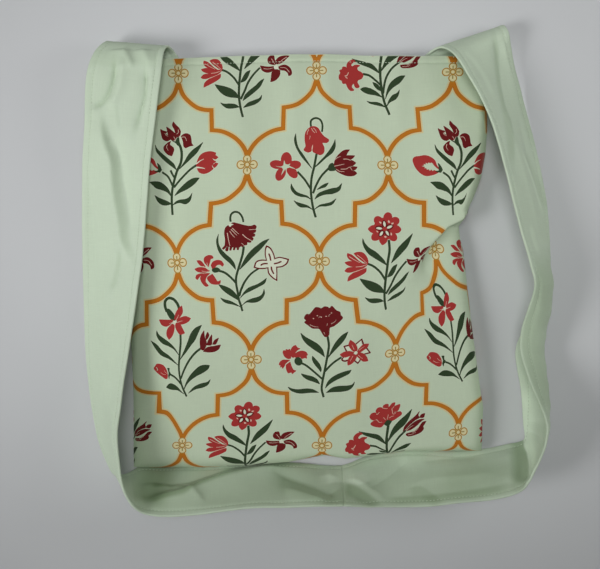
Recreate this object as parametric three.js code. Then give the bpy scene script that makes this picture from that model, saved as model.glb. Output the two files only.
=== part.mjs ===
// Soft cotton shoulder bag lying on its back, its wide strap laid round it as a loop.
// Millimetres. +X to the bag's right as seen from above, +Y toward the mouth, +Z up.
// Plan numbers in the tables are measured from one point in the bag's middle;
// FRAME_SHIFT moves them so the origin is under the middle of the whole outline.
import * as THREE from "three";

// ---- driving sizes ----
const FRAME_SHIFT = { x: -17.2, y: -17.3 };
const CLOTH = 1.4;          // panel thickness
const HEM = 2.2;            // doubled cloth along the mouth
const HEM_DEEP = 18;        // how far the doubled cloth runs down from the mouth
const SEAM_GAP = 0.4;       // sewn line between front and back
const SEAM_Z = 8;           // height of the side and bottom seam above the floor
const MOUTH_Y = 229;        // mouth edge, before the bag is turned
const PANEL_LONG = 429;     // flat length of the front, mouth edge to bottom seam
const BAG_TURN = 0.0122;    // the bag lies turned a little, radians
const MOUTH_Z = 13;         // height of the front's mouth edge
const CROWN = 18;           // how much the front rises from the mouth edge to the middle
const CROWN_LEFT = 2;       // extra fullness on the left
const SAG = 8;              // how much the lower part of the front comes down again
const BACK_CURVE = 6;       // radius of the back's turned up edge
const STRAP_THICK = 2.4;
const STRAP_ACROSS = 4;     // facets across the strap
const STRAP_STEPS = 2;      // sections for each row of the strap table

// ---- panel sides: by flat distance down from the mouth edge ----
const SIDES = [
  { down: 0,   left: -197.5, right: 192.5, rollLeft: 2,  rollRight: 2 },
  { down: 40,  left: -194,   right: 190.5, rollLeft: 10, rollRight: 6 },
  { down: 100, left: -190,   right: 190,   rollLeft: 20, rollRight: 9 },
  { down: 170, left: -187,   right: 189.5, rollLeft: 26, rollRight: 13 },
  { down: 250, left: -185.5, right: 188.5, rollLeft: 27, rollRight: 12 },
  { down: 340, left: -184,   right: 187,   rollLeft: 27, rollRight: 10 },
  { down: 429, left: -182,   right: 185.5, rollLeft: 24, rollRight: 9 },
];

// ---- bottom edge: by flat distance across ----
const BOTTOM = [
  { across: -200, roll: 20, slack: 10 },
  { across: 0,    roll: 19, slack: 10.5 },
  { across: 200,  roll: 13, slack: 9 },
];

// ---- the pinched tuck: a crease from the right edge, fading down to the bottom ----
const TUCK = [
  { name: "rim",   x: 192, y: 77,   pullX: 24, pullY: 16, soft: 20, drop: 12 },
  { name: "lip",   x: 166, y: 69,   pullX: 25, pullY: 16, soft: 20, drop: 13 },
  { name: "elbow", x: 144, y: 56,   pullX: 26, pullY: 16, soft: 21, drop: 13 },
  { name: "slope", x: 124, y: 29,   pullX: 20, pullY: 14, soft: 22, drop: 11 },
  { name: "fade",  x: 105, y: -6,   pullX: 6,  pullY: 11, soft: 28, drop: 7 },
  { name: "tail",  x: 75,  y: -56,  pullX: 2,  pullY: 9,  soft: 45, drop: 3 },
  { name: "end",   x: 30,  y: -116, pullX: 0,  pullY: 7,  soft: 70, drop: 1 },
  { name: "foot",  x: -30, y: -186, pullX: 0,  pullY: 4,  soft: 90, drop: 0 },
];
const TUCK_REACH = 115;     // how far the sideways pull carries below the crease
const TUCK_FADE = 140;      // how far the drop carries below the crease
const PINCH = { y: 64, reach: 30, pull: 20, from: 95, to: 185 };

// ---- soft ripples of the front ----
const RIPPLES = [
  { name: "mouth_a", x: -8,  y: 190, across: 22, along: 48, high: 1.6 },
  { name: "mouth_b", x: 27,  y: 186, across: 20, along: 44, high: 1.4 },
  { name: "mouth_c", x: 75,  y: 182, across: 30, along: 50, high: -1.2 },
  { name: "belly",   x: -70, y: 30,  across: 70, along: 90, high: 2.0 },
];

// ---- strap: both edges, station by station round the loop ----
// outer = the edge nearer the floor, upper = the free edge; bow bulges the width outward.
const STRAP = [
  { at: "left_end",      ox: -184,   oy: 194,    oz: 3.3,    ux: -116.5, uy: 197,    uz: 3.3,    bow: 0 },
  { at: "left_mouth",    ox: -187.5, oy: 222,    oz: 3.5,    ux: -120,   uy: 224,    uz: 3.5,    bow: 0 },
  { at: "left_rise",     ox: -192,   oy: 234,    oz: 7,    ux: -124.5, uy: 231,    uz: 7,    bow: 0 },
  { at: "left_fold",     ox: -197,   oy: 239,    oz: 20,   ux: -129,   uy: 234,    uz: 19,   bow: 0 },
  { at: "left_over",     ox: -202,   oy: 230,    oz: 33,   ux: -132,   uy: 227,    uz: 32,   bow: 0 },
  { at: "left_a",        ox: -204.5, oy: 201,    oz: 37,   ux: -135,   uy: 199,    uz: 38,   bow: 0 },
  { at: "left_b",        ox: -209.6, oy: 152,    oz: 34.5,   ux: -141,   uy: 150.5,  uz: 38,   bow: 0 },
  { at: "left_c",        ox: -212.5, oy: 118.8,  oz: 28,   ux: -145.2, uy: 116.5,  uz: 37.5,   bow: 0 },
  { at: "left_d",        ox: -214.3, oy: 83,     oz: 20,   ux: -148,   uy: 82.2,   uz: 37,   bow: 0 },
  { at: "left_e",        ox: -215.3, oy: 34,     oz: 12.5,   ux: -151.7, uy: 33.5,   uz: 38,   bow: 0 },
  { at: "left_f",        ox: -215,   oy: -15.4,  oz: 6,    ux: -157.7, uy: -15,    uz: 43,   bow: 0 },
  { at: "left_g",        ox: -213.7, oy: -65.4,  oz: 1.6,  ux: -164.4, uy: -62.8,  uz: 48.5, bow: 0 },
  { at: "left_h",        ox: -208.7, oy: -113.4, oz: 1.4,  ux: -170.1, uy: -109,   uz: 57.2, bow: 0 },
  { at: "left_i",        ox: -200.7, oy: -155.4, oz: 1.4,  ux: -173,   uy: -146.5, uz: 62.8, bow: 0 },
  { at: "corner_a",      ox: -192.7, oy: -177.3, oz: 1.4,  ux: -171.3, uy: -167,   uz: 65,   bow: 0 },
  { at: "corner_b",      ox: -185,   oy: -189.5, oz: 1.4,  ux: -169,   uy: -184.6, uz: 67,   bow: 0 },
  { at: "corner_c",      ox: -177.5, oy: -190.5, oz: 1.4,  ux: -164.6, uy: -198.7, uz: 67,   bow: 0 },
  { at: "corner_d",      ox: -169,   oy: -187.5, oz: 1.4,  ux: -157.2, uy: -211.2, uz: 63,   bow: 0 },
  { at: "corner_e",      ox: -159,   oy: -186,   oz: 1.4,  ux: -148.2, uy: -218,   uz: 59.5, bow: 0 },
  { at: "low_a",         ox: -139.8, oy: -185.6, oz: 1.4,  ux: -133,   uy: -221,   uz: 58.8, bow: 0 },
  { at: "low_b",         ox: -100,   oy: -185,   oz: 1.4,  ux: -97,    uy: -219,   uz: 59.5, bow: 0 },
  { at: "low_c",         ox: -50,    oy: -184,   oz: 1.4,  ux: -47.4,  uy: -212.2, uz: 62.6, bow: 0 },
  { at: "low_d",         ox: -7,     oy: -183,   oz: 1.4,  ux: -6.6,   uy: -211.3, uz: 63,   bow: 0 },
  { at: "cross_seam",    ox: 41.9,   oy: -181.5, oz: 1.4,  ux: 41.6,   uy: -209.8, uz: 63.4, bow: 0 },
  { at: "low_e",         ox: 70,     oy: -179,   oz: 1.4,  ux: 67.5,   uy: -211.4, uz: 59.6, bow: 0 },
  { at: "low_f",         ox: 100,    oy: -174,   oz: 1.4,  ux: 97.4,   uy: -212.6, uz: 55,   bow: 0 },
  { at: "low_g",         ox: 130,    oy: -174.5,   oz: 1.4,  ux: 126,    uy: -212,   uz: 54.5, bow: 0 },
  { at: "low_h",         ox: 160,    oy: -176, oz: 1.4,  ux: 153,    uy: -207.8, uz: 58.3, bow: 0 },
  { at: "low_i",         ox: 188,    oy: -174, oz: 1.4,  ux: 182.7,  uy: -205,   uz: 57.8, bow: 0 },
  { at: "low_j",         ox: 205.8,  oy: -168.5, oz: 1.4,  ux: 202.3,  uy: -199.9, uz: 59.8, bow: 0 },
  { at: "corner_f",      ox: 219.5,  oy: -165,   oz: 1.4,  ux: 212.3,  uy: -193.8, uz: 62.4, bow: 0 },
  { at: "corner_g",      ox: 225,    oy: -160,   oz: 1.4,  ux: 219.9,  uy: -178.9, uz: 66.5, bow: 0 },
  { at: "corner_h",      ox: 225,    oy: -152,   oz: 1.4,  ux: 227.1,  uy: -164.4, uz: 67.5, bow: 2 },
  { at: "right_a",       ox: 224,    oy: -145,   oz: 1.4,  ux: 232.1,  uy: -150,   uz: 66.5, bow: 6 },
  { at: "right_b",       ox: 222.7,  oy: -134,   oz: 1.4,  ux: 233.9,  uy: -133,   uz: 63.4, bow: 11 },
  { at: "right_c",       ox: 221.7,  oy: -118,   oz: 1.4,  ux: 228.7,  uy: -114.8, uz: 56.3, bow: 17 },
  { at: "right_d",       ox: 219.7,  oy: -100,   oz: 1.4,  ux: 222.5,  uy: -97.5,  uz: 46.5, bow: 21 },
  { at: "right_e",       ox: 216.7,  oy: -83.5,  oz: 1.4,  ux: 217.9,  uy: -81.9,  uz: 38.5, bow: 24 },
  { at: "right_f",       ox: 215.2,  oy: -65,    oz: 1.4,  ux: 213.6,  uy: -63.7,  uz: 36,   bow: 25 },
  { at: "right_g",       ox: 222.7,  oy: -45.4,  oz: 1.4,  ux: 213.6,  uy: -44,    uz: 41,   bow: 23 },
  { at: "right_h",       ox: 235.6,  oy: -25.5,  oz: 1.4,  ux: 217.6,  uy: -24.4,  uz: 52,   bow: 17 },
  { at: "right_i",       ox: 246.6,  oy: -2.5,   oz: 1.4,  ux: 222.8,  uy: -0.5,   uz: 60.7, bow: 10 },
  { at: "right_j",       ox: 249.1,  oy: 22.5,   oz: 1.4,  ux: 218.2,  uy: 21.3,   uz: 61.2, bow: 4 },
  { at: "right_k",       ox: 248.2,  oy: 53,     oz: 1.4,  ux: 210.7,  uy: 50,     uz: 58,   bow: 0 },
  { at: "right_l",       ox: 245.1,  oy: 88,     oz: 1.4,  ux: 203.7,  uy: 85.3,   uz: 55.3, bow: 0 },
  { at: "right_m",       ox: 238.1,  oy: 124.3,  oz: 1.4,  ux: 196.1,  uy: 118.8,  uz: 54.6, bow: 0 },
  { at: "right_n",       ox: 229.1,  oy: 160,    oz: 2,    ux: 186.4,  uy: 152.3,  uz: 54.5, bow: 0 },
  { at: "right_o",       ox: 219.1,  oy: 194,    oz: 5,    ux: 173.4,  uy: 181,    uz: 53.7, bow: 0 },
  { at: "right_p",       ox: 212,    oy: 216.5,  oz: 11,   ux: 160,    uy: 201.4,  uz: 51.5, bow: 0 },
  { at: "right_over",    ox: 207.5,  oy: 236,    oz: 17,   ux: 152.5,  uy: 215,    uz: 47.5, bow: 0 },
  { at: "right_turn",    ox: 204.5,  oy: 249,    oz: 21,   ux: 143,    uy: 229,    uz: 38,   bow: 0 },
  { at: "right_fold",    ox: 200.6,  oy: 255.5,  oz: 15,   ux: 134,    uy: 236.5,  uz: 22,   bow: 0 },
  { at: "right_rise",    ox: 191.5,  oy: 246,    oz: 5.5,  ux: 125.5,  uy: 234.5,  uz: 7,    bow: 0 },
  { at: "right_mouth",   ox: 184.5,  oy: 227,    oz: 3.5,    ux: 117.5,  uy: 226,    uz: 3.5,    bow: 0 },
  { at: "right_end",     ox: 181.5,    oy: 197,    oz: 3.3,    ux: 114,  uy: 198,    uz: 3.3,    bow: 0 },
];
const STRAP_SEAM = STRAP.findIndex((r) => r.at === "cross_seam");

// ---- panel grid: finer at the rolled edges and round the tuck ----
const GRID_ACROSS = [0, 9, 19, 31, 46, 66, 92, 120, 148, 176, 204, 230, 254, 275, 294, 311, 327, 341, 353, 363, 371, 377];
const GRID_DOWN = [0, 10, 20, 40, 62, 84, 104, 120, 134, 147, 160, 173, 187, 202, 220, 242, 266, 292, 318, 344, 366, 384, 398, 409, 418, 424, 429];

// ---- colours ----
const COLOUR = { cloth: 0xa9bda3, strap: 0xb3c6ac };

// ---- small numeric helpers ----
const clamp01 = (t) => Math.min(1, Math.max(0, t));
const smooth = (a, b, x) => { const t = clamp01((x - a) / (b - a)); return t * t * (3 - 2 * t); };
const easeOut = (t) => 1 - (1 - clamp01(t)) ** 2;

// Value of one column of a table at a key, through a smooth curve over the rows.
function track(table, key, column, x) {
  const n = table.length;
  if (x <= table[0][key]) return table[0][column];
  if (x >= table[n - 1][key]) return table[n - 1][column];
  let i = 0;
  while (x > table[i + 1][key]) i++;
  const slope = (k) => {
    const a = table[Math.max(0, k - 1)], b = table[Math.min(n - 1, k + 1)];
    return (b[column] - a[column]) / (b[key] - a[key]);
  };
  const p = table[i], q = table[i + 1], h = q[key] - p[key], t = (x - p[key]) / h;
  return p[column] * (1 + 2 * t) * (1 - t) ** 2 + slope(i) * h * t * (1 - t) ** 2
    + q[column] * t * t * (3 - 2 * t) + slope(i + 1) * h * t * t * (t - 1);
}

// Edge roll: cloth leaving the seam upright and bending over evenly until it lies level.
const ROLL_N = 240;
const ROLL = [{ run: 0, rise: 0 }];
for (let i = 1; i <= ROLL_N; i++) {
  const lean = (Math.PI / 2) * (1 - (i - 0.5) / ROLL_N) ** 2, last = ROLL[i - 1];
  ROLL.push({ run: last.run + Math.cos(lean) / ROLL_N, rise: last.rise + Math.sin(lean) / ROLL_N });
}
const ROLL_RUN = ROLL[ROLL_N].run, ROLL_RISE = ROLL[ROLL_N].rise;

// For cloth at flat distance q from a seam whose roll rises by `high`:
// shift = how far it moves in over the seam, rise = 0 at the seam to 1 on top.
function roll(q, high) {
  const long = high / ROLL_RISE;
  if (q >= long) return { shift: 0, rise: 1 };
  const f = (Math.max(0, q) / long) * ROLL_N, i = Math.min(ROLL_N - 1, Math.floor(f)), w = f - i;
  const run = ROLL[i].run * (1 - w) + ROLL[i + 1].run * w, rise = ROLL[i].rise * (1 - w) + ROLL[i + 1].rise * w;
  return { shift: long * (1 - ROLL_RUN) + long * run - q, rise: rise / ROLL_RISE };
}

// Place in the tuck: signed distance past the crease and the crease's own values there.
function tuckAt(x, y) {
  let best = 1e9, past = 0;
  const sum = { pullX: 0, pullY: 0, soft: 0, drop: 0 };
  let weight = 0;
  for (let i = 0; i + 1 < TUCK.length; i++) {
    const a = TUCK[i], b = TUCK[i + 1];
    const dx = b.x - a.x, dy = b.y - a.y, long = Math.hypot(dx, dy);
    let t = ((x - a.x) * dx + (y - a.y) * dy) / (long * long);
    const lo = i === 0 ? -9 : 0, hi = i + 2 === TUCK.length ? 9 : 1;
    t = Math.min(hi, Math.max(lo, t));
    const px = a.x + dx * t, py = a.y + dy * t, d = Math.hypot(x - px, y - py);
    if (d < best) { best = d; past = Math.sign((x - px) * -dy + (y - py) * dx) * d; }
    const w = 1 / (d * d + 60) ** 2, s = clamp01(t);
    for (const k of Object.keys(sum)) sum[k] += w * (a[k] * (1 - s) + b[k] * s);
    weight += w;
  }
  for (const k of Object.keys(sum)) sum[k] /= weight;
  return { past, ...sum };
}

// Front cloth: flat place (u across, v down from the mouth edge) to its place in space,
// with `rim` telling how near the seam it is (0 on the seam).
function frontPlace(u, v) {
  const side = (c) => track(SIDES, "down", c, v);
  const left = roll(u - side("left"), side("rollLeft"));
  const right = roll(side("right") - u, side("rollRight"));
  const foot = roll(PANEL_LONG - v, track(BOTTOM, "across", "roll", u));
  const slack = track(BOTTOM, "across", "slack", u) * smooth(290, 405, v);
  let x = u + left.shift - right.shift, y = MOUTH_Y - v + slack + foot.shift;
  [x, y] = [x - BAG_TURN * (y - MOUTH_Y), y + BAG_TURN * x];
  const full = easeOut(v / 140);
  let top = MOUTH_Z + CROWN * full + CROWN_LEFT * easeOut(-u / 150) * full - SAG * smooth(290, 410, v);
  for (const r of RIPPLES) top += r.high * Math.exp(-(((x - r.x) / r.across) ** 2) - ((y - r.y) / r.along) ** 2);
  const t = tuckAt(x, y), under = smooth(-t.soft, t.soft, t.past), below = Math.max(0, t.past);
  top -= t.drop * under * Math.exp(-((Math.max(0, below - 40) / TUCK_FADE) ** 2));
  const pinch = PINCH.pull * Math.exp(-(((y - PINCH.y) / PINCH.reach) ** 2)) * smooth(PINCH.from, PINCH.to, x) * (1 - under);
  x -= pinch + t.pullX * under * Math.exp(-((below / TUCK_REACH) ** 2));
  y += t.pullY * under;
  return { x, y, z: SEAM_Z + (top - SEAM_Z) * left.rise * right.rise * foot.rise };
}

// ---- solids ----
const normalOn = (grid, i, j) => {
  const at = (a, b) => grid[Math.min(grid.length - 1, Math.max(0, a))][Math.min(grid[0].length - 1, Math.max(0, b))];
  const di = new THREE.Vector3().subVectors(at(i + 1, j), at(i - 1, j));
  const dj = new THREE.Vector3().subVectors(at(i, j + 1), at(i, j - 1));
  return di.cross(dj).normalize();
};

// A closed wall between two grids of the same shape: `face` seen from outside, `inner` behind it.
function wall(face, inner) {
  const rows = face.length, cols = face[0].length, pos = [], tri = [];
  const id = (i, j, side) => (i * cols + j) * 2 + side;
  for (let i = 0; i < rows; i++) for (let j = 0; j < cols; j++) for (const p of [face[i][j], inner[i][j]])
    pos.push(p.x + FRAME_SHIFT.x, p.y + FRAME_SHIFT.y, p.z);
  for (let i = 0; i + 1 < rows; i++) for (let j = 0; j + 1 < cols; j++) {
    const q = (s) => [id(i, j, s), id(i + 1, j, s), id(i + 1, j + 1, s), id(i, j + 1, s)];
    const [a, b, c, d] = q(0), [e, f, g, h] = q(1);
    tri.push(a, b, c, a, c, d, e, g, f, e, h, g);
  }
  const edge = (a, b, c, d) => tri.push(b, a, c, b, c, d);
  for (let i = 0; i + 1 < rows; i++) {
    edge(id(i, 0, 0), id(i + 1, 0, 0), id(i, 0, 1), id(i + 1, 0, 1));
    edge(id(i + 1, cols - 1, 0), id(i, cols - 1, 0), id(i + 1, cols - 1, 1), id(i, cols - 1, 1));
  }
  for (let j = 0; j + 1 < cols; j++) {
    edge(id(rows - 1, j, 0), id(rows - 1, j + 1, 0), id(rows - 1, j, 1), id(rows - 1, j + 1, 1));
    edge(id(0, j + 1, 0), id(0, j, 0), id(0, j + 1, 1), id(0, j, 1));
  }
  const g = new THREE.BufferGeometry();
  g.setAttribute("position", new THREE.Float32BufferAttribute(pos, 3));
  g.setIndex(tri);
  g.computeVertexNormals();
  return g;
}

// Moves a grid inward by its thickness; along a sewn edge the cloth stands upright.
const offset = (grid, thick, sewn = () => false) => grid.map((row, i) => row.map((p, j) => {
  const n = normalOn(grid, i, j);
  if (sewn(i, j)) n.setZ(0).normalize();
  return new THREE.Vector3().copy(p).addScaledVector(n, -thick(i, j));
}));
const onSeam = (i, j) => j === 0 || j === GRID_ACROSS.length - 1 || i === GRID_DOWN.length - 1;

// Flat places of the panel grid: the columns are spread between the two cut sides.
const across = (j, v) => {
  const l = track(SIDES, "down", "left", v), r = track(SIDES, "down", "right", v), f = GRID_ACROSS[j] / GRID_ACROSS[GRID_ACROSS.length - 1];
  return l + (r - l) * f;
};
const frontGrid = GRID_DOWN.map((v) => GRID_ACROSS.map((_, j) => {
  const p = frontPlace(across(j, v), v);
  return new THREE.Vector3(p.x, p.y, p.z);
}));
const hemThick = (i) => (GRID_DOWN[i] <= HEM_DEEP ? HEM : CLOTH);

// The back lies under the front's outline: flat, its sides and bottom turned up to the seam.
function backGrid() {
  const rows = frontGrid.length, cols = frontGrid[0].length, last = rows - 1, end = cols - 1;
  const curve = (d) => (d >= BACK_CURVE ? 0 : (SEAM_Z - SEAM_GAP) * (1 - Math.sqrt(1 - (1 - d / BACK_CURVE) ** 2)));
  return frontGrid.map((row, i) => row.map((_, k) => {
    const j = end - k, p = row[j];
    const l = Math.hypot(p.x - row[0].x, p.y - row[0].y), r = Math.hypot(p.x - row[end].x, p.y - row[end].y);
    const low = frontGrid[last][j], b = Math.hypot(p.x - low.x, p.y - low.y);
    return new THREE.Vector3(p.x, p.y, Math.max(curve(l), curve(r), curve(b)));
  }));
}

// Strap: edge curves through the table, cross-sections bowed outward.
const edgeOf = (x, y, z) => new THREE.CatmullRomCurve3(STRAP.map((r) => new THREE.Vector3(r[x], r[y], r[z])), false, "centripetal");
const outerEdge = edgeOf("ox", "oy", "oz"), upperEdge = edgeOf("ux", "uy", "uz");
function strapRow(s) {
  const f = s / (STRAP.length - 1), a = outerEdge.getPoint(f), b = upperEdge.getPoint(f);
  const ta = outerEdge.getTangent(f), tb = upperEdge.getTangent(f);
  const out = new THREE.Vector3().addVectors(ta, tb).cross(new THREE.Vector3().subVectors(b, a)).normalize();
  const i = Math.min(STRAP.length - 2, Math.floor(s)), w = s - i;
  const e = w * w * (3 - 2 * w), bow = STRAP[i].bow * (1 - e) + STRAP[i + 1].bow * e;
  const row = [];
  for (let j = 0; j <= STRAP_ACROSS; j++) {
    const g = j / STRAP_ACROSS;
    row.push(new THREE.Vector3().lerpVectors(a, b, g).addScaledVector(out, bow * 4 * g * (1 - g)));
  }
  return row;
}
function strapHalf(from, to) {
  const mid = [];
  for (let k = from * STRAP_STEPS; k <= to * STRAP_STEPS; k++) mid.push(strapRow(k / STRAP_STEPS));
  for (const [end, sign] of [[from, 1], [to, -1]]) {
    if (end !== STRAP_SEAM) continue;
    for (const p of mid[sign > 0 ? 0 : mid.length - 1]) p.x += sign * SEAM_GAP * 0.7;
  }
  return wall(offset(mid, () => -STRAP_THICK / 2), offset(mid, () => STRAP_THICK / 2));
}

// ---- the part ----
const part = new THREE.Group();
const add = (name, geometry, color, roughness) => {
  const m = new THREE.Mesh(geometry, new THREE.MeshStandardMaterial({ color, roughness, metalness: 0 }));
  m.name = name;
  part.add(m);
};
const backFace = backGrid();
add("front_panel", wall(frontGrid, offset(frontGrid, hemThick, onSeam)), COLOUR.cloth, 0.95);
add("back_panel", wall(backFace, offset(backFace, () => CLOTH, onSeam)), COLOUR.cloth, 0.95);
add("strap_left", strapHalf(0, STRAP_SEAM), COLOUR.strap, 0.95);
add("strap_right", strapHalf(STRAP_SEAM, STRAP.length - 1), COLOUR.strap, 0.95);

export default part;
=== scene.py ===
import math

import bpy
import numpy as np
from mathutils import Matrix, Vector
from mathutils.geometry import delaunay_2d_cdt


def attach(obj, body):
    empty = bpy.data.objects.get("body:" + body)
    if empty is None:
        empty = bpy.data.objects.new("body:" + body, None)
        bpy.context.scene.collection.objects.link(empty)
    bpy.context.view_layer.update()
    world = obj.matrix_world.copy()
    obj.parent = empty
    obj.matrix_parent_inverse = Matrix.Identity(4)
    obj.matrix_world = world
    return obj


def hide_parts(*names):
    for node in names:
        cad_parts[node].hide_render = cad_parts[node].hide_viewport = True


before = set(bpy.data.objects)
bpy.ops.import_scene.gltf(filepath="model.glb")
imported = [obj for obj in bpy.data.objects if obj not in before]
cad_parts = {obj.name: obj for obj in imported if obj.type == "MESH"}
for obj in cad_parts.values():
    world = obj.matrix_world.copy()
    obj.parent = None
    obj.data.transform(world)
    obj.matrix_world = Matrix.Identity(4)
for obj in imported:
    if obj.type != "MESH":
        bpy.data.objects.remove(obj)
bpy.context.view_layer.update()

# Soft cotton shoulder bag lying on its back. Lengths below are millimetres in the plan of the
# bag; SHIFT carries plan to the shared frame. Flat cloth is measured u across, v down from the mouth.
SHIFT = np.array([-17.2, -17.3, 0.0])
IMAGE = (600, 569)
EYE = 1200.0

# ---------------------------------------------------------------- sizes of the cloth
CLOTH, HEM, HEM_DEEP = 1.4, 2.2, 18.0
SEAM_GAP, SEAM_Z = 0.15, 8.0
MOUTH_Y, PANEL_LONG, BAG_TURN = 229.0, 438.0, 0.0122
MOUTH_Z, CROWN, CROWN_LEFT, SAG = 13.0, 18.0, 2.0, 8.0
BACK_CURVE = 6.0
STRAP_THICK, STRAP_EDGE, STITCH_IN = 2.4, 1.3, 6.4
HEM_STITCH = 6.6
TUCK_REACH, TUCK_FADE = 135.0, 140.0

# down, left, right, rollLeft, rollRight
SIDES = np.array([
    [0, -197.5, 192.5, 2, 2], [40, -194, 190.5, 10, 6], [100, -190, 190, 20, 9], [170, -187, 189.5, 26, 13],
    [250, -185.5, 188.5, 27, 12], [340, -184, 187, 27, 10], [429, -182, 185.5, 24, 9]], float)
# across, roll, slack
BOTTOM = np.array([[-200, 20, 10], [-60, 19, 9], [0, 19, 7.5], [40, 18, 6.5], [90, 17, 7.5], [130, 15, 12.5], [155, 14, 15.5], [200, 13, 17.5]], float)
# x, y, pullX, pullY, soft, drop
TUCK = np.array([
    [200, 68, 28, 16, 9, 12], [173, 60, 28, 16, 10, 13], [153, 47, 28, 16, 15, 13], [133, 21, 22, 14, 22, 11],
    [113, -12, 7, 11, 30, 7], [80, -58, 2, 9, 45, 3], [32, -116, 0, 7, 70, 1], [-30, -186, 0, 4, 90, 0]], float)
# outline seen at the right side (up the bag, across) and at the bottom (across, up the bag)
RIGHT_EDGE = np.array([
    [-162, 180.3], [-121, 181.8], [-109, 179.8], [-77, 175.3], [-33, 169.5], [8, 164.9], [34, 161.9], [46, 158.9], [58, 157.4],
    [66, 164], [73, 165.5], [85, 171.5], [105, 179.3], [131, 184], [152, 185.5], [172, 185.3], [190, 186], [228, 188.5]], float)
BOTTOM_EDGE = np.array([
    [-190, -181.5], [-99, -181.5], [-50, -179.6], [-10, -175.8], [25, -168.4], [45, -172.3], [65, -170.2], [99, -164.6], [136, -164.8], [190, -164.8]], float)
# how far below the straight mouth line the hemmed edge hangs, across the bag
MOUTH_DIP = np.array([[-200, 5.4], [-126, 4.6], [-50, 2.6], [20, 2.1], [65, 3.9], [95, 4.5], [130, 5.2], [195, 5.4]], float)
# x, y, across, along, high
RIPPLES = np.array([[-8, 190, 12, 52, 2.6], [27, 186, 11, 48, 2.6], [66, 182, 13, 50, -2.2], [96, 186, 11, 46, 2.4], [-70, 30, 70, 90, 2.0], [52, -60, 16, 60, 1.6], [-60, 150, 14, 60, 1.6], [-128, 60, 13, 110, -2.4]], float)

# strap edges, station by station: floor-side edge x, y, z, free edge x, y, z, outward bow
STRAP = np.array([
    [-184, 194, 3.3, -116.5, 197, 3.3, 0], [-187.5, 222, 3.5, -120, 224, 3.5, 0], [-192, 234, 7, -124.5, 231, 7, 0],
    [-190.5, 238.5, 20, -129, 234, 19, 0], [-199, 228, 32, -132, 227, 32, 0], [-206.5, 207, 36.5, -134.6, 198.4, 41.5, 0],
    [-209.6, 152, 34.5, -140.3, 149.7, 44, 0], [-212.5, 118.8, 28, -144.3, 115.7, 45, 0], [-214.3, 83, 20, -146.9, 81.6, 45.5, 0],
    [-215.3, 34, 12.5, -150.6, 33.3, 46.5, 0], [-215, -15.4, 6, -156.9, -14.9, 49, 0], [-213.7, -65.4, 1.6, -163.9, -62.6, 52, 0],
    [-208.7, -113.4, 1.4, -170.1, -109, 57.2, 0], [-200.7, -155.4, 1.4, -173, -146.5, 62.8, 0],
    [-192.7, -177.3, 1.4, -171.3, -167, 65, 0], [-185, -189.5, 1.4, -169, -184.6, 67, 0],
    [-177.5, -190.5, 1.4, -164.6, -198.7, 67, 0], [-169, -187.5, 1.4, -157.2, -211.2, 63, 0],
    [-159, -181.6, 1.4, -148.5, -218.5, 56.6, 0], [-139.8, -181, 1.4, -133.4, -221.7, 55.2, 0],
    [-100, -180.6, 1.4, -97.3, -219.6, 56.3, 0], [-50, -179.2, 1.4, -47.6, -212.7, 59.9, 0],
    [-7, -178, 1.4, -6.6, -211.8, 60.2, 0], [41.9, -181, 1.4, 41.6, -209.9, 63.1, 0], [70, -170.5, 1.4, 67.9, -212.6, 53, 0],
    [100, -165.2, 1.4, 98.2, -214.4, 45.5, 0], [130, -165, 1.4, 127.1, -213.8, 44.4, 0], [160, -166, 1.4, 154, -209.3, 50.3, 0],
    [188, -163.6, 1.4, 184, -206.5, 49.5, 0], [206.5, -159.8, 1.4, 203.5, -201.1, 53.3, 0],
    [219, -157.5, 1.4, 213.1, -194.5, 57.9, 0], [224.5, -154.5, 1.4, 220.3, -179.2, 64.6, 0],
    [225, -149, 1.4, 227.2, -164.5, 66.8, 2], [224, -143, 1.4, 232.1, -150, 66.3, 6], [222.7, -134, 1.4, 233.9, -133, 63.4, 11],
    [221.7, -118, 1.4, 228.7, -114.8, 56.3, 17], [219.7, -100, 1.4, 222.5, -97.5, 46.5, 21],
    [216.7, -83.5, 1.4, 217.9, -81.9, 38.5, 24], [215.2, -65, 1.4, 213.6, -63.7, 36, 25],
    [222.7, -45.4, 1.4, 213.6, -44, 41, 23], [235.6, -25.5, 1.4, 217.6, -24.4, 52, 17],
    [246.6, -2.5, 1.4, 222.8, -0.5, 60.7, 10], [249.1, 22.5, 1.4, 218.2, 21.3, 61.2, 4], [248.2, 53, 1.4, 210.7, 50, 58, 0],
    [245.1, 88, 1.4, 202, 85.3, 55.3, 0], [238.1, 124.3, 1.4, 193.8, 118.8, 54.6, 0], [229.1, 160, 2, 184, 152.3, 54.5, 0],
    [219.1, 194, 5, 171.8, 181, 53.7, 0], [212, 216.5, 11, 160, 201.4, 51.5, 0], [207.5, 236, 17, 152.5, 215, 47.5, 0],
    [204.5, 249, 21, 146, 225.5, 38, 0], [200.6, 255.5, 15, 137, 232.5, 22, 0], [191.5, 246, 5.5, 128, 230.5, 7, 0],
    [184.5, 227, 3.5, 119, 222.5, 3.5, 0], [181.5, 197, 3.3, 114, 198, 3.3, 0]], float)
STRAP_SEAM = 23

# ---------------------------------------------------------------- colours (display values, 0 to 255)
COLOUR = {
    "ground": (198, 213, 188), "reverse": (202, 216, 193), "halo": (209, 219, 196),
    "orange": (190, 115, 26), "orange_rim": (176, 102, 21), "bleed": (213, 202, 154), "knot": (222, 212, 167), "knot_rim": (176, 134, 54), "cream": (219, 225, 204),
    "green": (46, 65, 39), "pink": (168, 50, 48), "dark": (104, 15, 18), "pale": (222, 190, 172), "tick": (138, 116, 44),
    "strap": (204, 220, 199), "thread": (203, 219, 195),
}


def linear(c):
    c = np.asarray(c, float) / 255.0
    return np.where(c <= 0.04045, c / 12.92, ((c + 0.055) / 1.055) ** 2.4)


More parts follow.
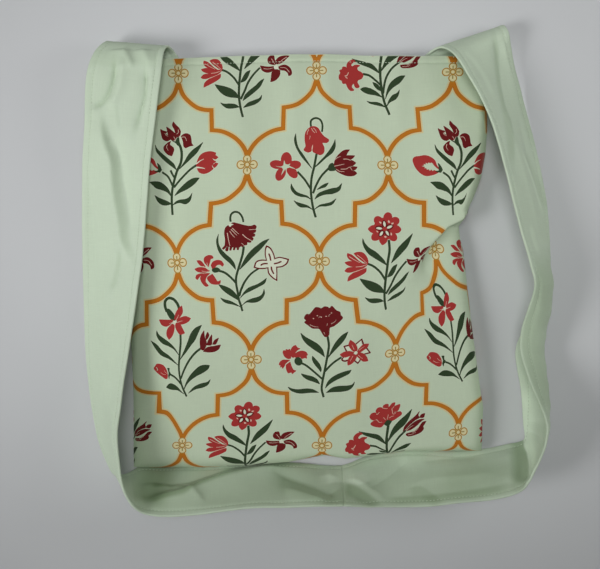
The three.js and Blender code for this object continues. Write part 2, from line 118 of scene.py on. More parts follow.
# ---------------------------------------------------------------- small numeric helpers
def smooth(a, b, x):
    t = np.clip((x - a) / (b - a), 0, 1)
    return t * t * (3 - 2 * t)


def ease_out(t):
    return 1 - (1 - np.clip(t, 0, 1)) ** 2


def track(table, col, x):
    """Column of a table at key x, on a smooth curve over its rows."""
    k, v, n = table[:, 0], table[:, col], len(table)
    hi, lo = np.minimum(np.arange(n) + 1, n - 1), np.maximum(np.arange(n) - 1, 0)
    s = (v[hi] - v[lo]) / (k[hi] - k[lo])
    x = np.clip(x, k[0], k[-1])
    i = np.clip(np.searchsorted(k, x) - 1, 0, n - 2)
    h = k[i + 1] - k[i]
    t = (x - k[i]) / h
    return v[i] * (1 + 2 * t) * (1 - t) ** 2 + s[i] * h * t * (1 - t) ** 2 + v[i + 1] * t * t * (3 - 2 * t) + s[i + 1] * h * t * t * (t - 1)


ROLL_N = 240
_lean = (math.pi / 2) * (1 - (np.arange(1, ROLL_N + 1) - 0.5) / ROLL_N) ** 2
ROLL_RUN = np.concatenate([[0], np.cumsum(np.cos(_lean) / ROLL_N)])
ROLL_RISE = np.concatenate([[0], np.cumsum(np.sin(_lean) / ROLL_N)])
ROLL_T = np.linspace(0, 1, ROLL_N + 1)


def roll(q, high):
    """Edge roll: how far cloth at flat distance q from the seam moves in, and its rise from 0 to 1."""
    long = high / ROLL_RISE[-1]
    f = np.clip(q / long, 0, 1)
    shift = np.where(f >= 1, 0, long * (1 - ROLL_RUN[-1]) + long * np.interp(f, ROLL_T, ROLL_RUN) - np.minimum(q, long))
    return shift, np.interp(f, ROLL_T, ROLL_RISE) / ROLL_RISE[-1]


def tuck_at(x, y):
    """Signed distance past the crease of the tuck, and the crease's own values there."""
    best, past, weight = np.full(x.shape, 1e9), np.zeros(x.shape), np.zeros(x.shape)
    sums = [np.zeros(x.shape) for _ in range(4)]
    for i in range(len(TUCK) - 1):
        a, b = TUCK[i], TUCK[i + 1]
        dx, dy = b[0] - a[0], b[1] - a[1]
        t = ((x - a[0]) * dx + (y - a[1]) * dy) / (dx * dx + dy * dy)
        t = np.clip(t, -9 if i == 0 else 0, 9 if i + 2 == len(TUCK) else 1)
        px, py = a[0] + dx * t, a[1] + dy * t
        d = np.hypot(x - px, y - py)
        near = d < best
        past = np.where(near, np.sign((x - px) * -dy + (y - py) * dx) * d, past)
        best = np.where(near, d, best)
        w, s = 1 / (d * d + 60) ** 2, np.clip(t, 0, 1)
        for k in range(4):
            sums[k] += w * (a[2 + k] * (1 - s) + b[2 + k] * s)
        weight += w
    return past, [q / weight for q in sums]


def mouth_dip(u):
    return track(MOUTH_DIP, 1, u)


def waves(u, v):
    """Gentle unevenness of slack cotton, in millimetres of height."""
    z = 0.6 * np.sin(u / 10.2 + 0.9 * np.sin(v / 61.0) + 0.4) * np.exp(-(((v - 60) / 95.0) ** 2))
    z += 0.6 * np.sin(u / 21.3 - v / 47.0 + 1.3) + 0.5 * np.sin(u / 33.0 + v / 26.0 + 0.5 * np.sin(u / 50.0))
    z += 0.16 * np.sin(u / 8.9 + v / 16.1 + 2.0) * np.sin(v / 37.0 + 0.6)
    return z


def front_drape(u, v):
    """Flat place on the front cloth to its place in plan coordinates, before the outline is trued."""
    left, right = track(SIDES, 1, v), track(SIDES, 2, v)
    ls, lr = roll(u - left, track(SIDES, 3, v))
    rs, rr = roll(right - u, track(SIDES, 4, v))
    fs, fr = roll(PANEL_LONG - v, track(BOTTOM, 1, u))
    x, y = u + ls - rs, MOUTH_Y - v + track(BOTTOM, 2, u) * smooth(290, 405, v) + 9.0 * smooth(372 + 28 * smooth(-40, 40, u), 440, v) + fs
    x, y = x - BAG_TURN * (y - MOUTH_Y), y + BAG_TURN * x
    full = ease_out(v / 140)
    top = MOUTH_Z + CROWN * full + CROWN_LEFT * ease_out(-u / 150) * full - SAG * smooth(290, 410, v)
    for a in RIPPLES:
        top = top + a[4] * np.exp(-(((x - a[0]) / a[2]) ** 2) - ((y - a[1]) / a[3]) ** 2)
    x = x + 10.0 * np.exp(-(((u + 151) / 21.0) ** 2) - ((v - 338) / 42.0) ** 2)
    past, (pull_x, pull_y, soft, drop) = tuck_at(x, y)
    under, below = smooth(-soft, soft, past), np.maximum(0, past)
    top = top - drop * under * np.exp(-((np.maximum(0, below - 40) / TUCK_FADE) ** 2))
    x = x - pull_x * under * np.exp(-((below / TUCK_REACH) ** 2))
    y = y + pull_y * under
    rim = np.minimum(np.minimum(u - left, right - u), PANEL_LONG - v)
    calm = smooth(0, 25, rim) * smooth(-4, 22, v)
    top = top + waves(u, v) * calm
    # hem: a stitched groove, the cloth a little puffed on either side
    h = v - mouth_dip(u)
    top = top - 0.6 * np.exp(-(((h - HEM_STITCH) / 1.15) ** 2)) + 0.25 * np.exp(-(((h - 3.2) / 2.2) ** 2)) * (1 + 0.5 * np.sin(u / 2.9 + np.sin(u / 11.0)))
    z = SEAM_Z + (top - SEAM_Z) * lr * rr * fr
    # puckers where the sides and bottom are sewn
    along = np.where(PANEL_LONG - v < np.minimum(u - left, right - u), u, v)
    pucker = 0.28 * np.exp(-np.maximum(rim - 3, 0) / 6.0) * smooth(0, 3, rim) * np.sin(along / 1.75 + 1.4 * np.sin(along / 23.0)) * smooth(15, 40, v)
    return x, y, z + pucker


def front_place(u, v):
    """Flat place on the front cloth to plan, its right side and bottom brought to the outline seen."""
    x, y, z = front_drape(u, v)
    right = track(SIDES, 2, v)
    xe, ye, _ = front_drape(right, v)
    x = x - (xe - np.interp(ye, RIGHT_EDGE[:, 0], RIGHT_EDGE[:, 1])) * (1 - smooth(0, 46, right - u))
    xe, ye, _ = front_drape(u, np.full(np.shape(v), PANEL_LONG))
    y = y - (ye - np.interp(xe, BOTTOM_EDGE[:, 0], BOTTOM_EDGE[:, 1])) * (1 - smooth(0, 40, PANEL_LONG - v))
    return x, y, z


def rim_places(n=400):
    """Plan of the front's four edges, for the back to follow."""
    v = np.linspace(0, PANEL_LONG, n)
    f = np.linspace(0, 1, n)
    left, right = front_place(track(SIDES, 1, v), v), front_place(track(SIDES, 2, v), v)
    ends = []
    for edge in (0.0, PANEL_LONG):
        vv = np.full(n, edge)
        l, r = track(SIDES, 1, vv), track(SIDES, 2, vv)
        ends.append(front_place(l + (r - l) * f, vv))
    return v, f, left, right, ends[0], ends[1]


EDGE_V, EDGE_F, EDGE_L, EDGE_R, EDGE_T, EDGE_B = rim_places()


def back_place(u, v):
    """Flat place on the back cloth to plan: it lies flat, its sides and bottom turned up to the seam."""
    l, r = track(SIDES, 1, v), track(SIDES, 2, v)
    f, g = np.clip((u - l) / (r - l), 0, 1), np.clip(v / PANEL_LONG, 0, 1)
    out = []
    for k in range(2):
        a, b = np.interp(v, EDGE_V, EDGE_L[k]), np.interp(v, EDGE_V, EDGE_R[k])
        t, m = np.interp(f, EDGE_F, EDGE_T[k]), np.interp(f, EDGE_F, EDGE_B[k])
        corners = (1 - g) * ((1 - f) * EDGE_T[k][0] + f * EDGE_T[k][-1]) + g * ((1 - f) * EDGE_B[k][0] + f * EDGE_B[k][-1])
        out.append((1 - f) * a + f * b + (1 - g) * t + g * m - corners)
    x, y = out
    d = np.minimum(np.minimum(np.hypot(x - np.interp(v, EDGE_V, EDGE_L[0]), y - np.interp(v, EDGE_V, EDGE_L[1])),
                              np.hypot(x - np.interp(v, EDGE_V, EDGE_R[0]), y - np.interp(v, EDGE_V, EDGE_R[1]))),
                   np.hypot(x - np.interp(f, EDGE_F, EDGE_B[0]), y - np.interp(f, EDGE_F, EDGE_B[1])))
    up = (SEAM_Z - SEAM_GAP) * (1 - np.sqrt(np.clip(1 - np.clip(1 - d / BACK_CURVE, 0, 1) ** 2, 0, 1)))
    groove = 0.35 * np.exp(-(((v - mouth_dip(u) - HEM_STITCH) / 1.15) ** 2)) * smooth(2, 8, d)
    return x, y, up + groove


# ---------------------------------------------------------------- drawing of the printed chart
def curve_through(points, step, closed=False):
    """Smooth curve through points, as short straight runs."""
    p = np.asarray(points, float)
    n = len(p)
    if n == 2 and not closed:
        m = max(1, int(np.hypot(*(p[1] - p[0])) / step))
        return p[0] + (p[1] - p[0]) * np.linspace(0, 1, m + 1)[:, None]
    q = np.vstack([p[-1], p, p[0], p[1]]) if closed else np.vstack([2 * p[0] - p[1], p, 2 * p[-1] - p[-2]])
    out = []
    for i in range(n if closed else n - 1):
        a, b, c, d = q[i:i + 4]
        t0, t1, t2 = (max(np.hypot(*(e - s)), 1e-4) ** 0.5 for s, e in ((a, b), (b, c), (c, d)))
        m1 = ((b - a) / t0 - (c - a) / (t0 + t1) + (c - b) / t1) * t1
        m2 = ((c - b) / t1 - (d - b) / (t1 + t2) + (d - c) / t2) * t1
        m = max(1, int(math.ceil(np.hypot(*(c - b)) / step)))
        for t in np.arange(m) / m:
            out.append(b * (1 + 2 * t) * (1 - t) ** 2 + m1 * t * (1 - t) ** 2 + c * t * t * (3 - 2 * t) + m2 * t * t * (t - 1))
    if not closed:
        out.append(p[-1])
    return np.array(out)


def stroke(line, w0, w1=None):
    """Band of given width along a line, corners mitred."""
    w1 = w0 if w1 is None else w1
    p = np.asarray(line, float)
    d = np.diff(p, axis=0)
    d /= np.maximum(np.hypot(d[:, 0], d[:, 1]), 1e-9)[:, None]
    n = np.stack([-d[:, 1], d[:, 0]], 1)
    a, b = np.vstack([n[:1], n]), np.vstack([n, n[-1:]])
    m = a + b
    m /= np.maximum((m * m).sum(1), 0.5)[:, None] / 2
    run = np.concatenate([[0], np.cumsum(np.hypot(*np.diff(p, axis=0).T))])
    w = (w0 + (w1 - w0) * run / max(run[-1], 1e-9))[:, None] / 2
    return np.vstack([p + m * w, (p - m * w)[::-1]])


def grown(poly, by):
    """Closed outline moved outward."""
    p = np.asarray(poly, float)
    x, y = p[:, 0], p[:, 1]
    turn = np.sign((x * np.roll(y, -1) - np.roll(x, -1) * y).sum())
    a, b = p - np.roll(p, 1, 0), np.roll(p, -1, 0) - p
    t = a / np.maximum(np.hypot(*a.T), 1e-9)[:, None] + b / np.maximum(np.hypot(*b.T), 1e-9)[:, None]
    t /= np.maximum(np.hypot(*t.T), 1e-3)[:, None]
    return p + np.stack([t[:, 1], -t[:, 0]], 1) * turn * by


def anticlockwise(poly):
    x, y = poly[:, 0], poly[:, 1]
    return poly if (x * np.roll(y, -1) - np.roll(x, -1) * y).sum() > 0 else poly[::-1]


def oval(cx, cy, a, b, turn=0.0, n=20, point=0.0):
    """Ellipse with half-axes a along `turn` (degrees) and b across; point > 0 sharpens its far end."""
    t = np.linspace(0, 2 * math.pi, n, endpoint=False)
    c, s = np.cos(t), np.sin(t)
    long, wide = a * c, b * s * (1 - point * np.clip(c, 0, 1) ** 2)
    r = math.radians(turn)
    return np.stack([cx + long * math.cos(r) - wide * math.sin(r), cy + long * math.sin(r) + wide * math.cos(r)], 1)


def read(text):
    return [[tuple(float(n) for n in p.split(",")) for p in part.split()] for part in text.split("/")]


def shape(kind, text, step):
    """One printed shape in chart units: `leaf` outlines with sharp corners at the slashes, `blob`
    outlines all round, `stem A B` bands tapering from width A to B, `oval A B TURN POINT` petals."""
    words = kind.split()
    parts = read(text)
    if words[0] == "blob":
        return [curve_through(parts[0], step, closed=True)]
    if words[0] == "stem":
        return [stroke(curve_through(parts[0], step * 1.6), float(words[1]), float(words[2]))]
    if words[0] == "oval":
        a, b, turn, point = (float(w) for w in words[1:5])
        return [oval(x, y, a, b, turn, 18, point) for x, y in parts[0]]
    out, start = [], parts[0][0]
    for i, part in enumerate(parts):
        run = ([last] if i else []) + part + ([start] if i + 1 == len(parts) else [])
        if len(run) > 1:
            out.append(curve_through(run, step)[:-1])
        last = part[-1]
    return [np.vstack(out)]


# Each spray: views of the chart (centre of its cell and chart units for a millimetre, across and down), then shapes.
SPRAYS = {
    "daisy": [
        (863, 739, 14.93 / 0.979, 14.93 / 0.976, [
            ("green", "stem 30 27", "815,375 820,520 795,680 775,850 760,1000 755,1150 770,1300 800,1445"),
            ("green", "stem 26 24", "480,715 580,760 680,850 757,965"),
            ("green", "stem 20 26", "1069,693 985,790 900,920 840,1060 780,1180"),
            ("green", "leaf", "440,345 470,420 530,490 620,550 690,620 740,680 780,755 / 700,705 600,640 520,580 460,490 435,400"),
            ("green", "leaf", "1180,280 1090,360 1000,440 930,520 880,620 840,720 / 930,640 1010,560 1090,470 1150,350"),
            ("green", "leaf", "930,735 870,770 820,850 795,905 790,930 / 850,905 890,850"),
            ("green", "leaf", "390,945 450,960 560,990 650,1030 710,1080 755,1165 / 590,1140 500,1090 430,1010"),
            ("green", "leaf", "1130,862 1075,898 1005,972 915,1048 845,1120 810,1205 / 885,1152 995,1062 1070,985"),
            ("green", "leaf", "470,1225 530,1245 620,1245 700,1260 755,1300 / 650,1315 570,1310 520,1280"),
            ("green", "leaf", "1092,1112 1055,1160 975,1195 890,1232 810,1308 / 905,1282 1000,1245 1075,1180"),
            ("pink", "oval 74 60 -70 0", "820,38"), ("pink", "oval 72 58 -33 0", "918,98"), ("pink", "oval 74 58 5 0.3", "932,215"),
            ("pink", "oval 74 58 50 0", "872,322"), ("pink", "oval 74 56 102 0.6", "733,372"), ("pink", "oval 74 56 142 0.2", "632,318"),
            ("pink", "oval 78 58 181 0.6", "602,210"), ("pink", "oval 76 62 234 0", "684,92"),
            ("pink", "oval 165 160 0 0", "770,205"),
            ("pale", "leaf", "690,95 720,110 712,132 / 694,118"), ("pale", "leaf", "815,92 832,78 850,112 / 826,120"),
            ("pale", "leaf", "868,120 905,118 880,150 / 866,142"), ("pale", "leaf", "850,262 868,282 856,310 / 844,292"),
            ("pale", "leaf", "748,318 768,312 790,330 / 762,340"), ("pale", "leaf", "640,232 662,240 664,262 / 646,252"),
            ("dark", "oval 62 37 -96 0.3", "764,142"), ("dark", "oval 64 38 -22 0.3", "832,182"), ("dark", "oval 58 37 62 0.3", "795,266"),
            ("dark", "oval 60 36 125 0.3", "716,270"), ("dark", "oval 64 36 186 0.3", "690,198"),
            ("cream", "oval 42 19 -96 0.4", "764,134"), ("cream", "oval 44 19 -22 0.4", "838,180"), ("cream", "oval 40 18 62 0.4", "798,272"),
            ("cream", "oval 40 18 125 0.4", "710,278"), ("cream", "oval 44 18 186 0.4", "682,198"),
            ("pink", "oval 30 28 0 0", "765,208"),
        ]),
        (388, 175.8, 8.0, 8.0, [
            ("pink", "leaf", "50,86 78,96 104,118 132,146 158,164 / 120,156 80,142 57,124 48,104"),
            ("pink", "leaf", "98,86 128,77 162,82 188,110 201,148 199,168 / 168,152 138,128 114,106"),
            ("pink", "leaf", "30,156 64,148 112,154 160,166 199,170 / 160,182 110,190 68,184 42,170"),
            ("pink", "leaf", "28,222 50,200 92,195 150,194 194,178 / 160,204 112,220 70,233 44,231"),
            ("pink", "leaf", "50,302 58,270 88,242 130,222 188,202 / 184,230 142,260 96,282"),
            ("pale", "stem 4.5 2.5", "120,98 150,122 178,150 194,166"), ("pale", "stem 4.5 3", "62,110 100,136 140,158"), ("pale", "stem 4.5 2.5", "110,192 150,188 192,174"),
            ("pale", "stem 4.5 2.5", "98,232 140,216 190,196"),
            ("dark", "leaf", "574,50 600,48 608,80 622,106 / 612,124 590,122 566,112 556,92 560,68"),
            ("dark", "leaf", "722,50 702,70 674,98 642,116 626,118 / 618,96 628,74 650,57 684,49"),
            ("dark", "leaf", "716,217 737,207 739,178 722,146 690,126 655,132 636,144 / 652,166 684,172 706,187 714,202"),
            ("dark", "leaf", "577,265 582,232 586,196 596,168 / 622,162 650,172 / 648,206 630,236 604,256"),
            ("dark", "leaf", "499,135 530,140 566,142 602,138 / 604,160 580,182 545,188 514,172"),
            ("cream", "blob", "603,140 617,124 633,136 638,152 620,161 605,154"),
            ("pale", "stem 4.5 2.5", "584,74 600,100 612,122"), ("pale", "stem 4.5 2.5", "702,60 668,84 638,114"), ("pale", "stem 4.5 2.5", "722,186 694,152 652,146"),
            ("pale", "stem 4 2.5", "524,158 560,160 598,150"),
        ]),
    ],
    "carnations": [
        (868, 745, 14.93, 14.93 / 1.021, [
            ("green", "stem 34 28", "830,440 815,560 800,680 795,760"),
            ("green", "leaf", "1165,285 1070,370 980,440 900,530 850,640 822,730 / 900,640 980,570 1070,500 1130,400"),
            ("green", "leaf", "390,540 460,560 580,590 680,620 750,690 792,765 / 740,730 660,680 560,640 470,600"),
            ("pink", "blob", "552,320 580,278 628,270 650,288 642,240 670,200 712,196 738,212 750,175 790,156 820,166 818,208 842,198 870,160 916,150 908,200 985,186 980,232 955,280 905,300 1000,300 1015,338 960,380 880,420 810,412 760,460 720,500 650,492 600,472 566,440 600,402 636,385 590,378 562,352"),
            ("pale", "stem 9 6", "648,300 672,292 690,268"), ("pale", "stem 9 6", "735,205 775,222 812,224"), ("pale", "stem 10 6", "872,238 880,275 892,322 930,312"),
            ("pale", "stem 8 5", "822,322 815,360 806,398"), ("pale", "stem 8 5", "752,358 770,380 782,400"), ("pale", "stem 8 5", "640,378 665,392 690,428 735,428"),
            ("pale", "stem 8 5", "838,376 868,358 905,352"), ("pale", "stem 7 5", "905,205 890,225 868,240"),
            ("green", "leaf", "762,462 812,408 876,428 / 836,485 800,488"),
            ("dark", "leaf", "1280,342 1230,395 1130,470 1070,530 1043,602 / 1085,575 1150,512 1230,462 1278,440 1262,395"),
            ("dark", "leaf", "1362,388 1310,396 1282,440 / 1345,446"),
            ("dark", "leaf", "1358,474 1280,470 1180,510 1082,600 / 1140,602 1235,560 1305,505"),
            ("dark", "leaf", "1388,514 1335,518 1290,570 1220,628 1092,652 1112,682 1200,688 1312,662 1352,622 1342,582 / 1366,548"),
            ("pale", "stem 7 4", "1080,608 1150,560 1196,538"), ("pale", "stem 8 5", "1190,645 1250,615 1300,548"), ("pale", "stem 6 4", "1120,668 1180,668 1235,650"),
        ]),
        (1099, 294, 13.07 / 0.984, 13.07 / 1.022, [
            ("green", "stem 25 25", "1047,230 1042,330 1045,420 1058,560 1080,690 1136,846"),
            ("green", "stem 24 18", "820,315 900,335 980,400 1048,470"),
            ("green", "stem 20 22", "1290,165 1190,250 1120,360 1085,480 1070,570"),
            ("green", "leaf", "942,422 985,440 1025,478 1058,545 / 1005,522 960,470"),
            ("green", "leaf", "778,512 830,488 900,500 980,545 1060,625 / 960,590 880,575 815,545"),
            ("green", "leaf", "1364,346 1300,350 1230,385 1160,450 1120,540 1092,650 / 1140,560 1200,500 1290,440"),
            ("green", "leaf", "852,664 900,676 980,682 1030,700 1090,750 / 1010,728 940,710 885,692"),
            ("green", "leaf", "1285,530 1250,572 1190,600 1140,660 1102,745 / 1150,690 1230,650 1272,590"),
            ("pink", "blob", "500,345 522,300 510,272 545,255 552,226 590,226 608,238 610,190 640,150 690,132 720,152 690,166 664,200 680,218 722,200 782,206 746,232 755,270 800,296 822,330 800,375 756,395 742,420 766,482 730,495 706,470 698,440 670,460 666,490 692,525 650,531 612,490 590,440 550,440 536,402 508,390"),
            ("pale", "stem 12 9", "578,342 604,340 632,294"), ("pale", "stem 10 8", "590,358 614,374"),
        ]),
    ],
    "bell": [
        (928, 696, 15.68 / 0.970, 15.68 / 0.972, [
            ("green", "stem 26 22", "645,22 640,-40 662,-100 720,-130 780,-112 830,-40 845,30"),
            ("green", "stem 30 26", "845,415 830,520 790,660 745,800 720,900 720,1000 740,1120 760,1250 790,1340 812,1425"),
            ("green", "stem 28 26", "440,785 540,820 640,900 718,985"),
            ("green", "stem 20 30", "1085,755 960,840 860,960 800,1080 764,1190"),
            ("green", "leaf", "452,212 418,310 425,400 460,500 530,590 620,670 716,776 / 700,690 640,600 560,530 490,450 455,380 445,300"),
            ("green", "leaf", "1248,298 1160,330 1070,390 950,490 860,610 775,778 / 890,670 990,570 1100,470 1190,370"),
            ("green", "leaf", "442,1004 530,1030 620,1070 690,1130 740,1200 762,1262 / 640,1190 540,1120 480,1060"),
            ("green", "leaf", "1198,912 1150,950 1050,1010 920,1060 850,1120 775,1228 / 850,1160 950,1110 1070,1050 1170,990"),
            ("green", "leaf", "468,1214 530,1240 620,1265 690,1300 784,1360 / 660,1320 570,1300 515,1270"),
            ("green", "leaf", "1156,1084 1130,1160 1080,1200 960,1235 880,1270 790,1352 / 880,1290 960,1295 1060,1280 1130,1225 1166,1150"),
            ("dark", "leaf", "612,76 / 640,60 682,40 760,55 860,82 950,96 1022,76 / 1046,102 1038,136 / 985,150 / 1040,160 1030,192 / 985,210 / 1024,226 1018,256 / 975,262 / 998,292 / 985,320 / 955,318 / 964,348 / 925,352 / 900,340 / 896,386 / 850,398 / 828,420 / 800,408 / 770,430 / 762,466 / 742,464 / 735,425 / 715,430 / 700,468 / 680,466 / 690,420 / 660,425 / 645,472 / 622,468 / 630,410 / 605,415 / 592,480 570,482 / 556,466 / 590,400 / 540,445 522,455 508,438 / 545,400 556,300 545,200 562,120"),
            ("pale", "stem 12 6", "668,122 716,170 772,218"), ("pale", "stem 11 6", "648,142 692,190 742,238"), ("pale", "stem 10 6", "628,172 662,222 706,270"),
            ("pale", "stem 12 9", "590,198 606,300 628,400"), ("pale", "stem 13 8", "826,222 886,276 962,322"), ("pale", "stem 8 5", "930,152 985,150 1030,148"),
            ("pale", "stem 8 4", "812,360 840,388 858,402"), ("cream", "leaf", "606,74 650,52 694,70 / 660,82 640,104 / 624,96"),
            ("pink", "leaf", "288,726 225,650 226,585 290,547 345,553 / 362,588 325,602 305,660"),
            ("pink", "leaf", "328,702 360,650 430,625 490,640 527,690 / 510,718 470,692 420,700 360,765"),
            ("pink", "leaf", "106,628 160,630 238,722 / 165,704 130,668"),
            ("pink", "leaf", "72,758 140,735 230,745 304,790 / 230,812 130,802 92,782"),
            ("pink", "leaf", "96,856 150,835 206,832 / 142,880 112,926 / 86,902"),
            ("pink", "leaf", "206,832 306,828 / 252,885 236,960 284,1022 / 246,1032 190,982 160,900"),
            ("pink", "leaf", "346,842 380,890 430,960 474,942 / 462,988 400,1002 320,982 268,900"),
            ("pale", "stem 8 4", "262,660 275,700 288,720"), ("pale", "stem 8 5", "200,715 250,745 292,780"), ("pale", "stem 7 4", "180,790 240,800 300,792"),
            ("green", "blob", "342,772 420,740 472,782 440,806 370,812"),
            ("dark", "leaf", "1202,404 1262,438 1312,528 1334,606 / 1400,588 1480,602 1552,622 / 1524,688 1450,738 1364,750 / 1364,850 1362,960 / 1288,910 1228,838 1216,756 / 1150,768 1068,764 1000,746 / 1036,656 1110,628 1196,630 / 1178,540 1186,440"),
            ("cream", "leaf", "1216,428 1252,454 1300,536 1322,622 / 1400,602 1474,616 1530,634 / 1510,676 1444,724 1350,736 / 1352,850 1346,934 / 1298,898 1242,830 1230,744 / 1150,752 1074,750 1022,736 / 1048,668 1112,644 1210,644 / 1192,540 1200,450"),
            ("dark", "stem 14 12", "1238,532 1256,580 1266,640"), ("dark", "stem 14 12", "1318,690 1370,680 1432,656"),
            ("dark", "stem 14 12", "1108,712 1150,690 1216,686"), ("dark", "stem 14 12", "1274,738 1282,790 1312,848"),
        ]),
    ],
    "iris": [
        (592, 659, 15.68 / 0.973, 15.68 / 0.979, [
            ("green", "stem 34 28", "605,280 640,360 655,450 640,590 580,720 530,880 500,1020 490,1180 500,1402"),
            ("green", "stem 24 22", "345,735 430,800 475,880 508,960"),
            ("green", "stem 26 24", "885,635 790,700 700,785 600,890 530,975"),
            ("green", "stem 26 22", "476,708 505,770 545,835"),
            ("green", "leaf", "236,300 270,370 340,440 450,535 530,610 572,705 / 500,650 400,570 310,480 252,400"),
            ("green", "leaf", "992,275 920,330 830,395 760,470 700,570 618,692 / 700,620 800,530 900,430"),
            ("green", "leaf", "140,886 230,880 310,890 390,945 450,1020 484,1118 / 420,1050 330,1010 250,985 190,930"),
            ("green", "leaf", "932,834 850,835 770,870 670,950 590,1030 536,1108 / 620,1060 730,1010 850,930"),
            ("green", "leaf", "224,1094 290,1135 370,1168 430,1195 486,1232 / 420,1250 340,1245 270,1190"),
            ("green", "leaf", "816,1064 770,1130 710,1162 620,1172 560,1195 498,1256 / 560,1228 620,1218 710,1238 780,1190"),
            ("dark", "leaf", "318,56 / 360,80 425,100 / 398,128 440,165 / 455,190 470,225 / 420,245 360,215 335,150"),
            ("dark", "leaf", "412,20 / 470,60 540,120 580,180 / 545,235 / 500,235 450,180 432,100"),
            ("dark", "leaf", "505,0 520,-60 / 560,-10 610,40 640,100 / 625,160 595,190 / 560,150 / 545,80"),
            ("dark", "leaf", "645,175 690,142 740,135 790,165 806,230 / 812,290 838,325 / 780,335 720,362 / 690,340 678,260"),
            ("dark", "leaf", "430,275 480,250 / 465,300 520,350 532,390 / 515,440 498,482 / 440,460 385,405 372,340"),
            ("pale", "stem 9 5", "392,122 402,150 440,172"), ("pale", "stem 8 5", "600,70 604,110 575,140"), ("pale", "stem 9 5", "650,190 705,190 735,250"),
            ("pale", "stem 10 5", "428,300 415,345 440,392"), ("pale", "stem 8 5", "530,180 548,215 556,240"),
            ("green", "leaf", "498,240 555,258 / 590,195 612,195 / 620,270 625,330 / 595,320 560,280"),
            ("pink", "leaf", "888,642 905,560 960,470 1040,432 1120,425 1192,446 / 1175,490 1132,525 / 1150,560 1192,582 / 1150,610 1125,640 / 1130,670 1150,692 / 1080,745 1000,768 930,745 900,690"),
            ("pink", "leaf", "1142,524 1182,482 / 1226,516 / 1180,546"), ("pink", "leaf", "1140,640 1190,604 / 1224,614 / 1196,655 / 1165,676"),
            ("cream", "stem 18 6", "888,612 940,570 1002,540"), ("cream", "stem 26 8", "888,668 950,675 1020,690"),
        ]),
        (789, 706, 14.93 / 0.991, 14.93 / 0.975, [
            ("pink", "blob", "120,580 150,545 220,535 300,525 370,545 440,600 470,680 520,745 466,790 400,815 300,825 220,780 150,690"),
            ("ground", "leaf", "248,682 282,672 / 275,652 / 310,660 / 305,635 / 340,648 / 345,630 / 378,640 / 392,632 440,690 500,742 / 530,760 / 450,752 / 425,742 / 408,758 / 385,735 / 365,752 / 345,728 / 322,738 / 312,712 / 285,716 / 292,698"),
            ("green", "leaf", "486,640 505,655 / 530,690 552,742 / 525,782 / 490,775 448,768 / 500,752 / 498,700"),
        ]),
    ],
    "bluebell": [
        (761, 602, 14.25 / 0.974, 14.25 / 0.978, [
            ("green", "stem 22 20", "664,20 668,-66 732,-102 800,-76 830,0 822,96"),
            ("green", "stem 26 26", "740,400 700,600 665,740 650,900 658,1050 680,1190 712,1312"),
            ("green", "stem 24 22", "462,662 560,770 645,905"),
            ("green", "stem 24 24", "905,620 800,730 730,850 680,970"),
            ("green", "leaf", "446,115 424,190 430,260 470,360 540,470 600,540 672,622 / 610,520 540,410 480,320 455,220"),
            ("green", "leaf", "1008,204 980,270 930,350 850,450 780,520 690,620 / 780,550 870,470 970,390 1008,310"),
            ("green", "leaf", "904,824 850,840 790,875 732,922 / 800,900 860,880"),
            ("green", "leaf", "370,828 400,890 450,950 530,985 600,1010 646,1056 / 580,1025 500,1015 420,980 365,900"),
            ("green", "leaf", "1092,834 1030,890 950,905 830,940 750,980 700,1058 / 760,1020 850,990 960,980 1060,930"),
            ("green", "leaf", "402,1068 450,1095 530,1120 600,1145 680,1210 / 600,1172 500,1165 450,1130"),
            ("green", "leaf", "1008,1050 930,1100 850,1120 770,1140 690,1206 / 770,1160 870,1155 950,1130"),
            ("pink", "blob", "640,40 700,18 760,40 806,110 850,165 915,215 890,250 822,255 846,320 838,395 790,424 745,405 690,380 684,300 668,360 620,385 560,352 585,300 575,200 590,100"),
            ("pale", "leaf", "690,272 684,330 668,372 / 672,310"), ("pale", "stem 9 5", "632,60 612,100 608,135"), ("pale", "stem 9 5", "672,45 690,80 722,110"), ("pale", "stem 7 4", "650,150 645,180 640,200"),
            ("pale", "stem 8 5", "700,40 730,72 742,110"),
            ("pink", "oval 105 74 -88 0", "306,490"), ("pink", "oval 96 58 -8 0", "415,566"), ("pink", "oval 98 58 52 0", "385,665"),
            ("pink", "oval 100 62 118 0", "222,690"), ("pink", "oval 96 58 186 0", "170,556"),
            ("ground", "leaf", "262,568 / 275,500 290,548 / 330,560 / 360,545 345,575 / 440,625 350,600 / 312,612 / 300,655 290,620 / 232,705 258,625 / 240,600 / 150,578 230,585"),
            ("dark", "leaf", "985,560 1010,480 1080,400 1140,362 1212,356 / 1185,390 1160,440 / 1220,440 1285,444 / 1250,480 1210,500 / 1260,520 1296,548 / 1260,580 1215,598 / 1260,598 1315,606 / 1290,640 1250,655 / 1285,672 1308,696 / 1270,725 1190,732 1100,705 1010,645"),
            ("pale", "stem 9 5", "985,590 1060,575 1130,560"), ("pale", "stem 9 5", "992,500 1030,470 1080,450"), ("pale", "stem 10 6", "1120,490 1180,492 1225,510"),
            ("pale", "stem 9 6", "1080,632 1160,630 1205,605 1240,650"), ("pale", "stem 8 5", "1010,630 1070,665 1130,668"),
            ("green", "blob", "902,610 925,560 965,545 990,600 1010,640 960,655 915,648"),
        ]),
    ],
    "star": [
        (645, 886, 15.68 / 0.973, 15.68 / 1.03, [
            ("green", "stem 36 34", "445,140 418,60 425,-20 480,-60 560,-35 625,50 640,110"),
            ("green", "leaf", "572,276 510,255 460,190 430,110 / 470,100 530,150 572,215"),
            ("green", "stem 26 26", "655,470 655,600 630,800 610,980 620,1150 650,1280 690,1380 728,1462"),
            ("green", "stem 26 24", "972,690 880,760 780,880 700,1020 636,1160"),
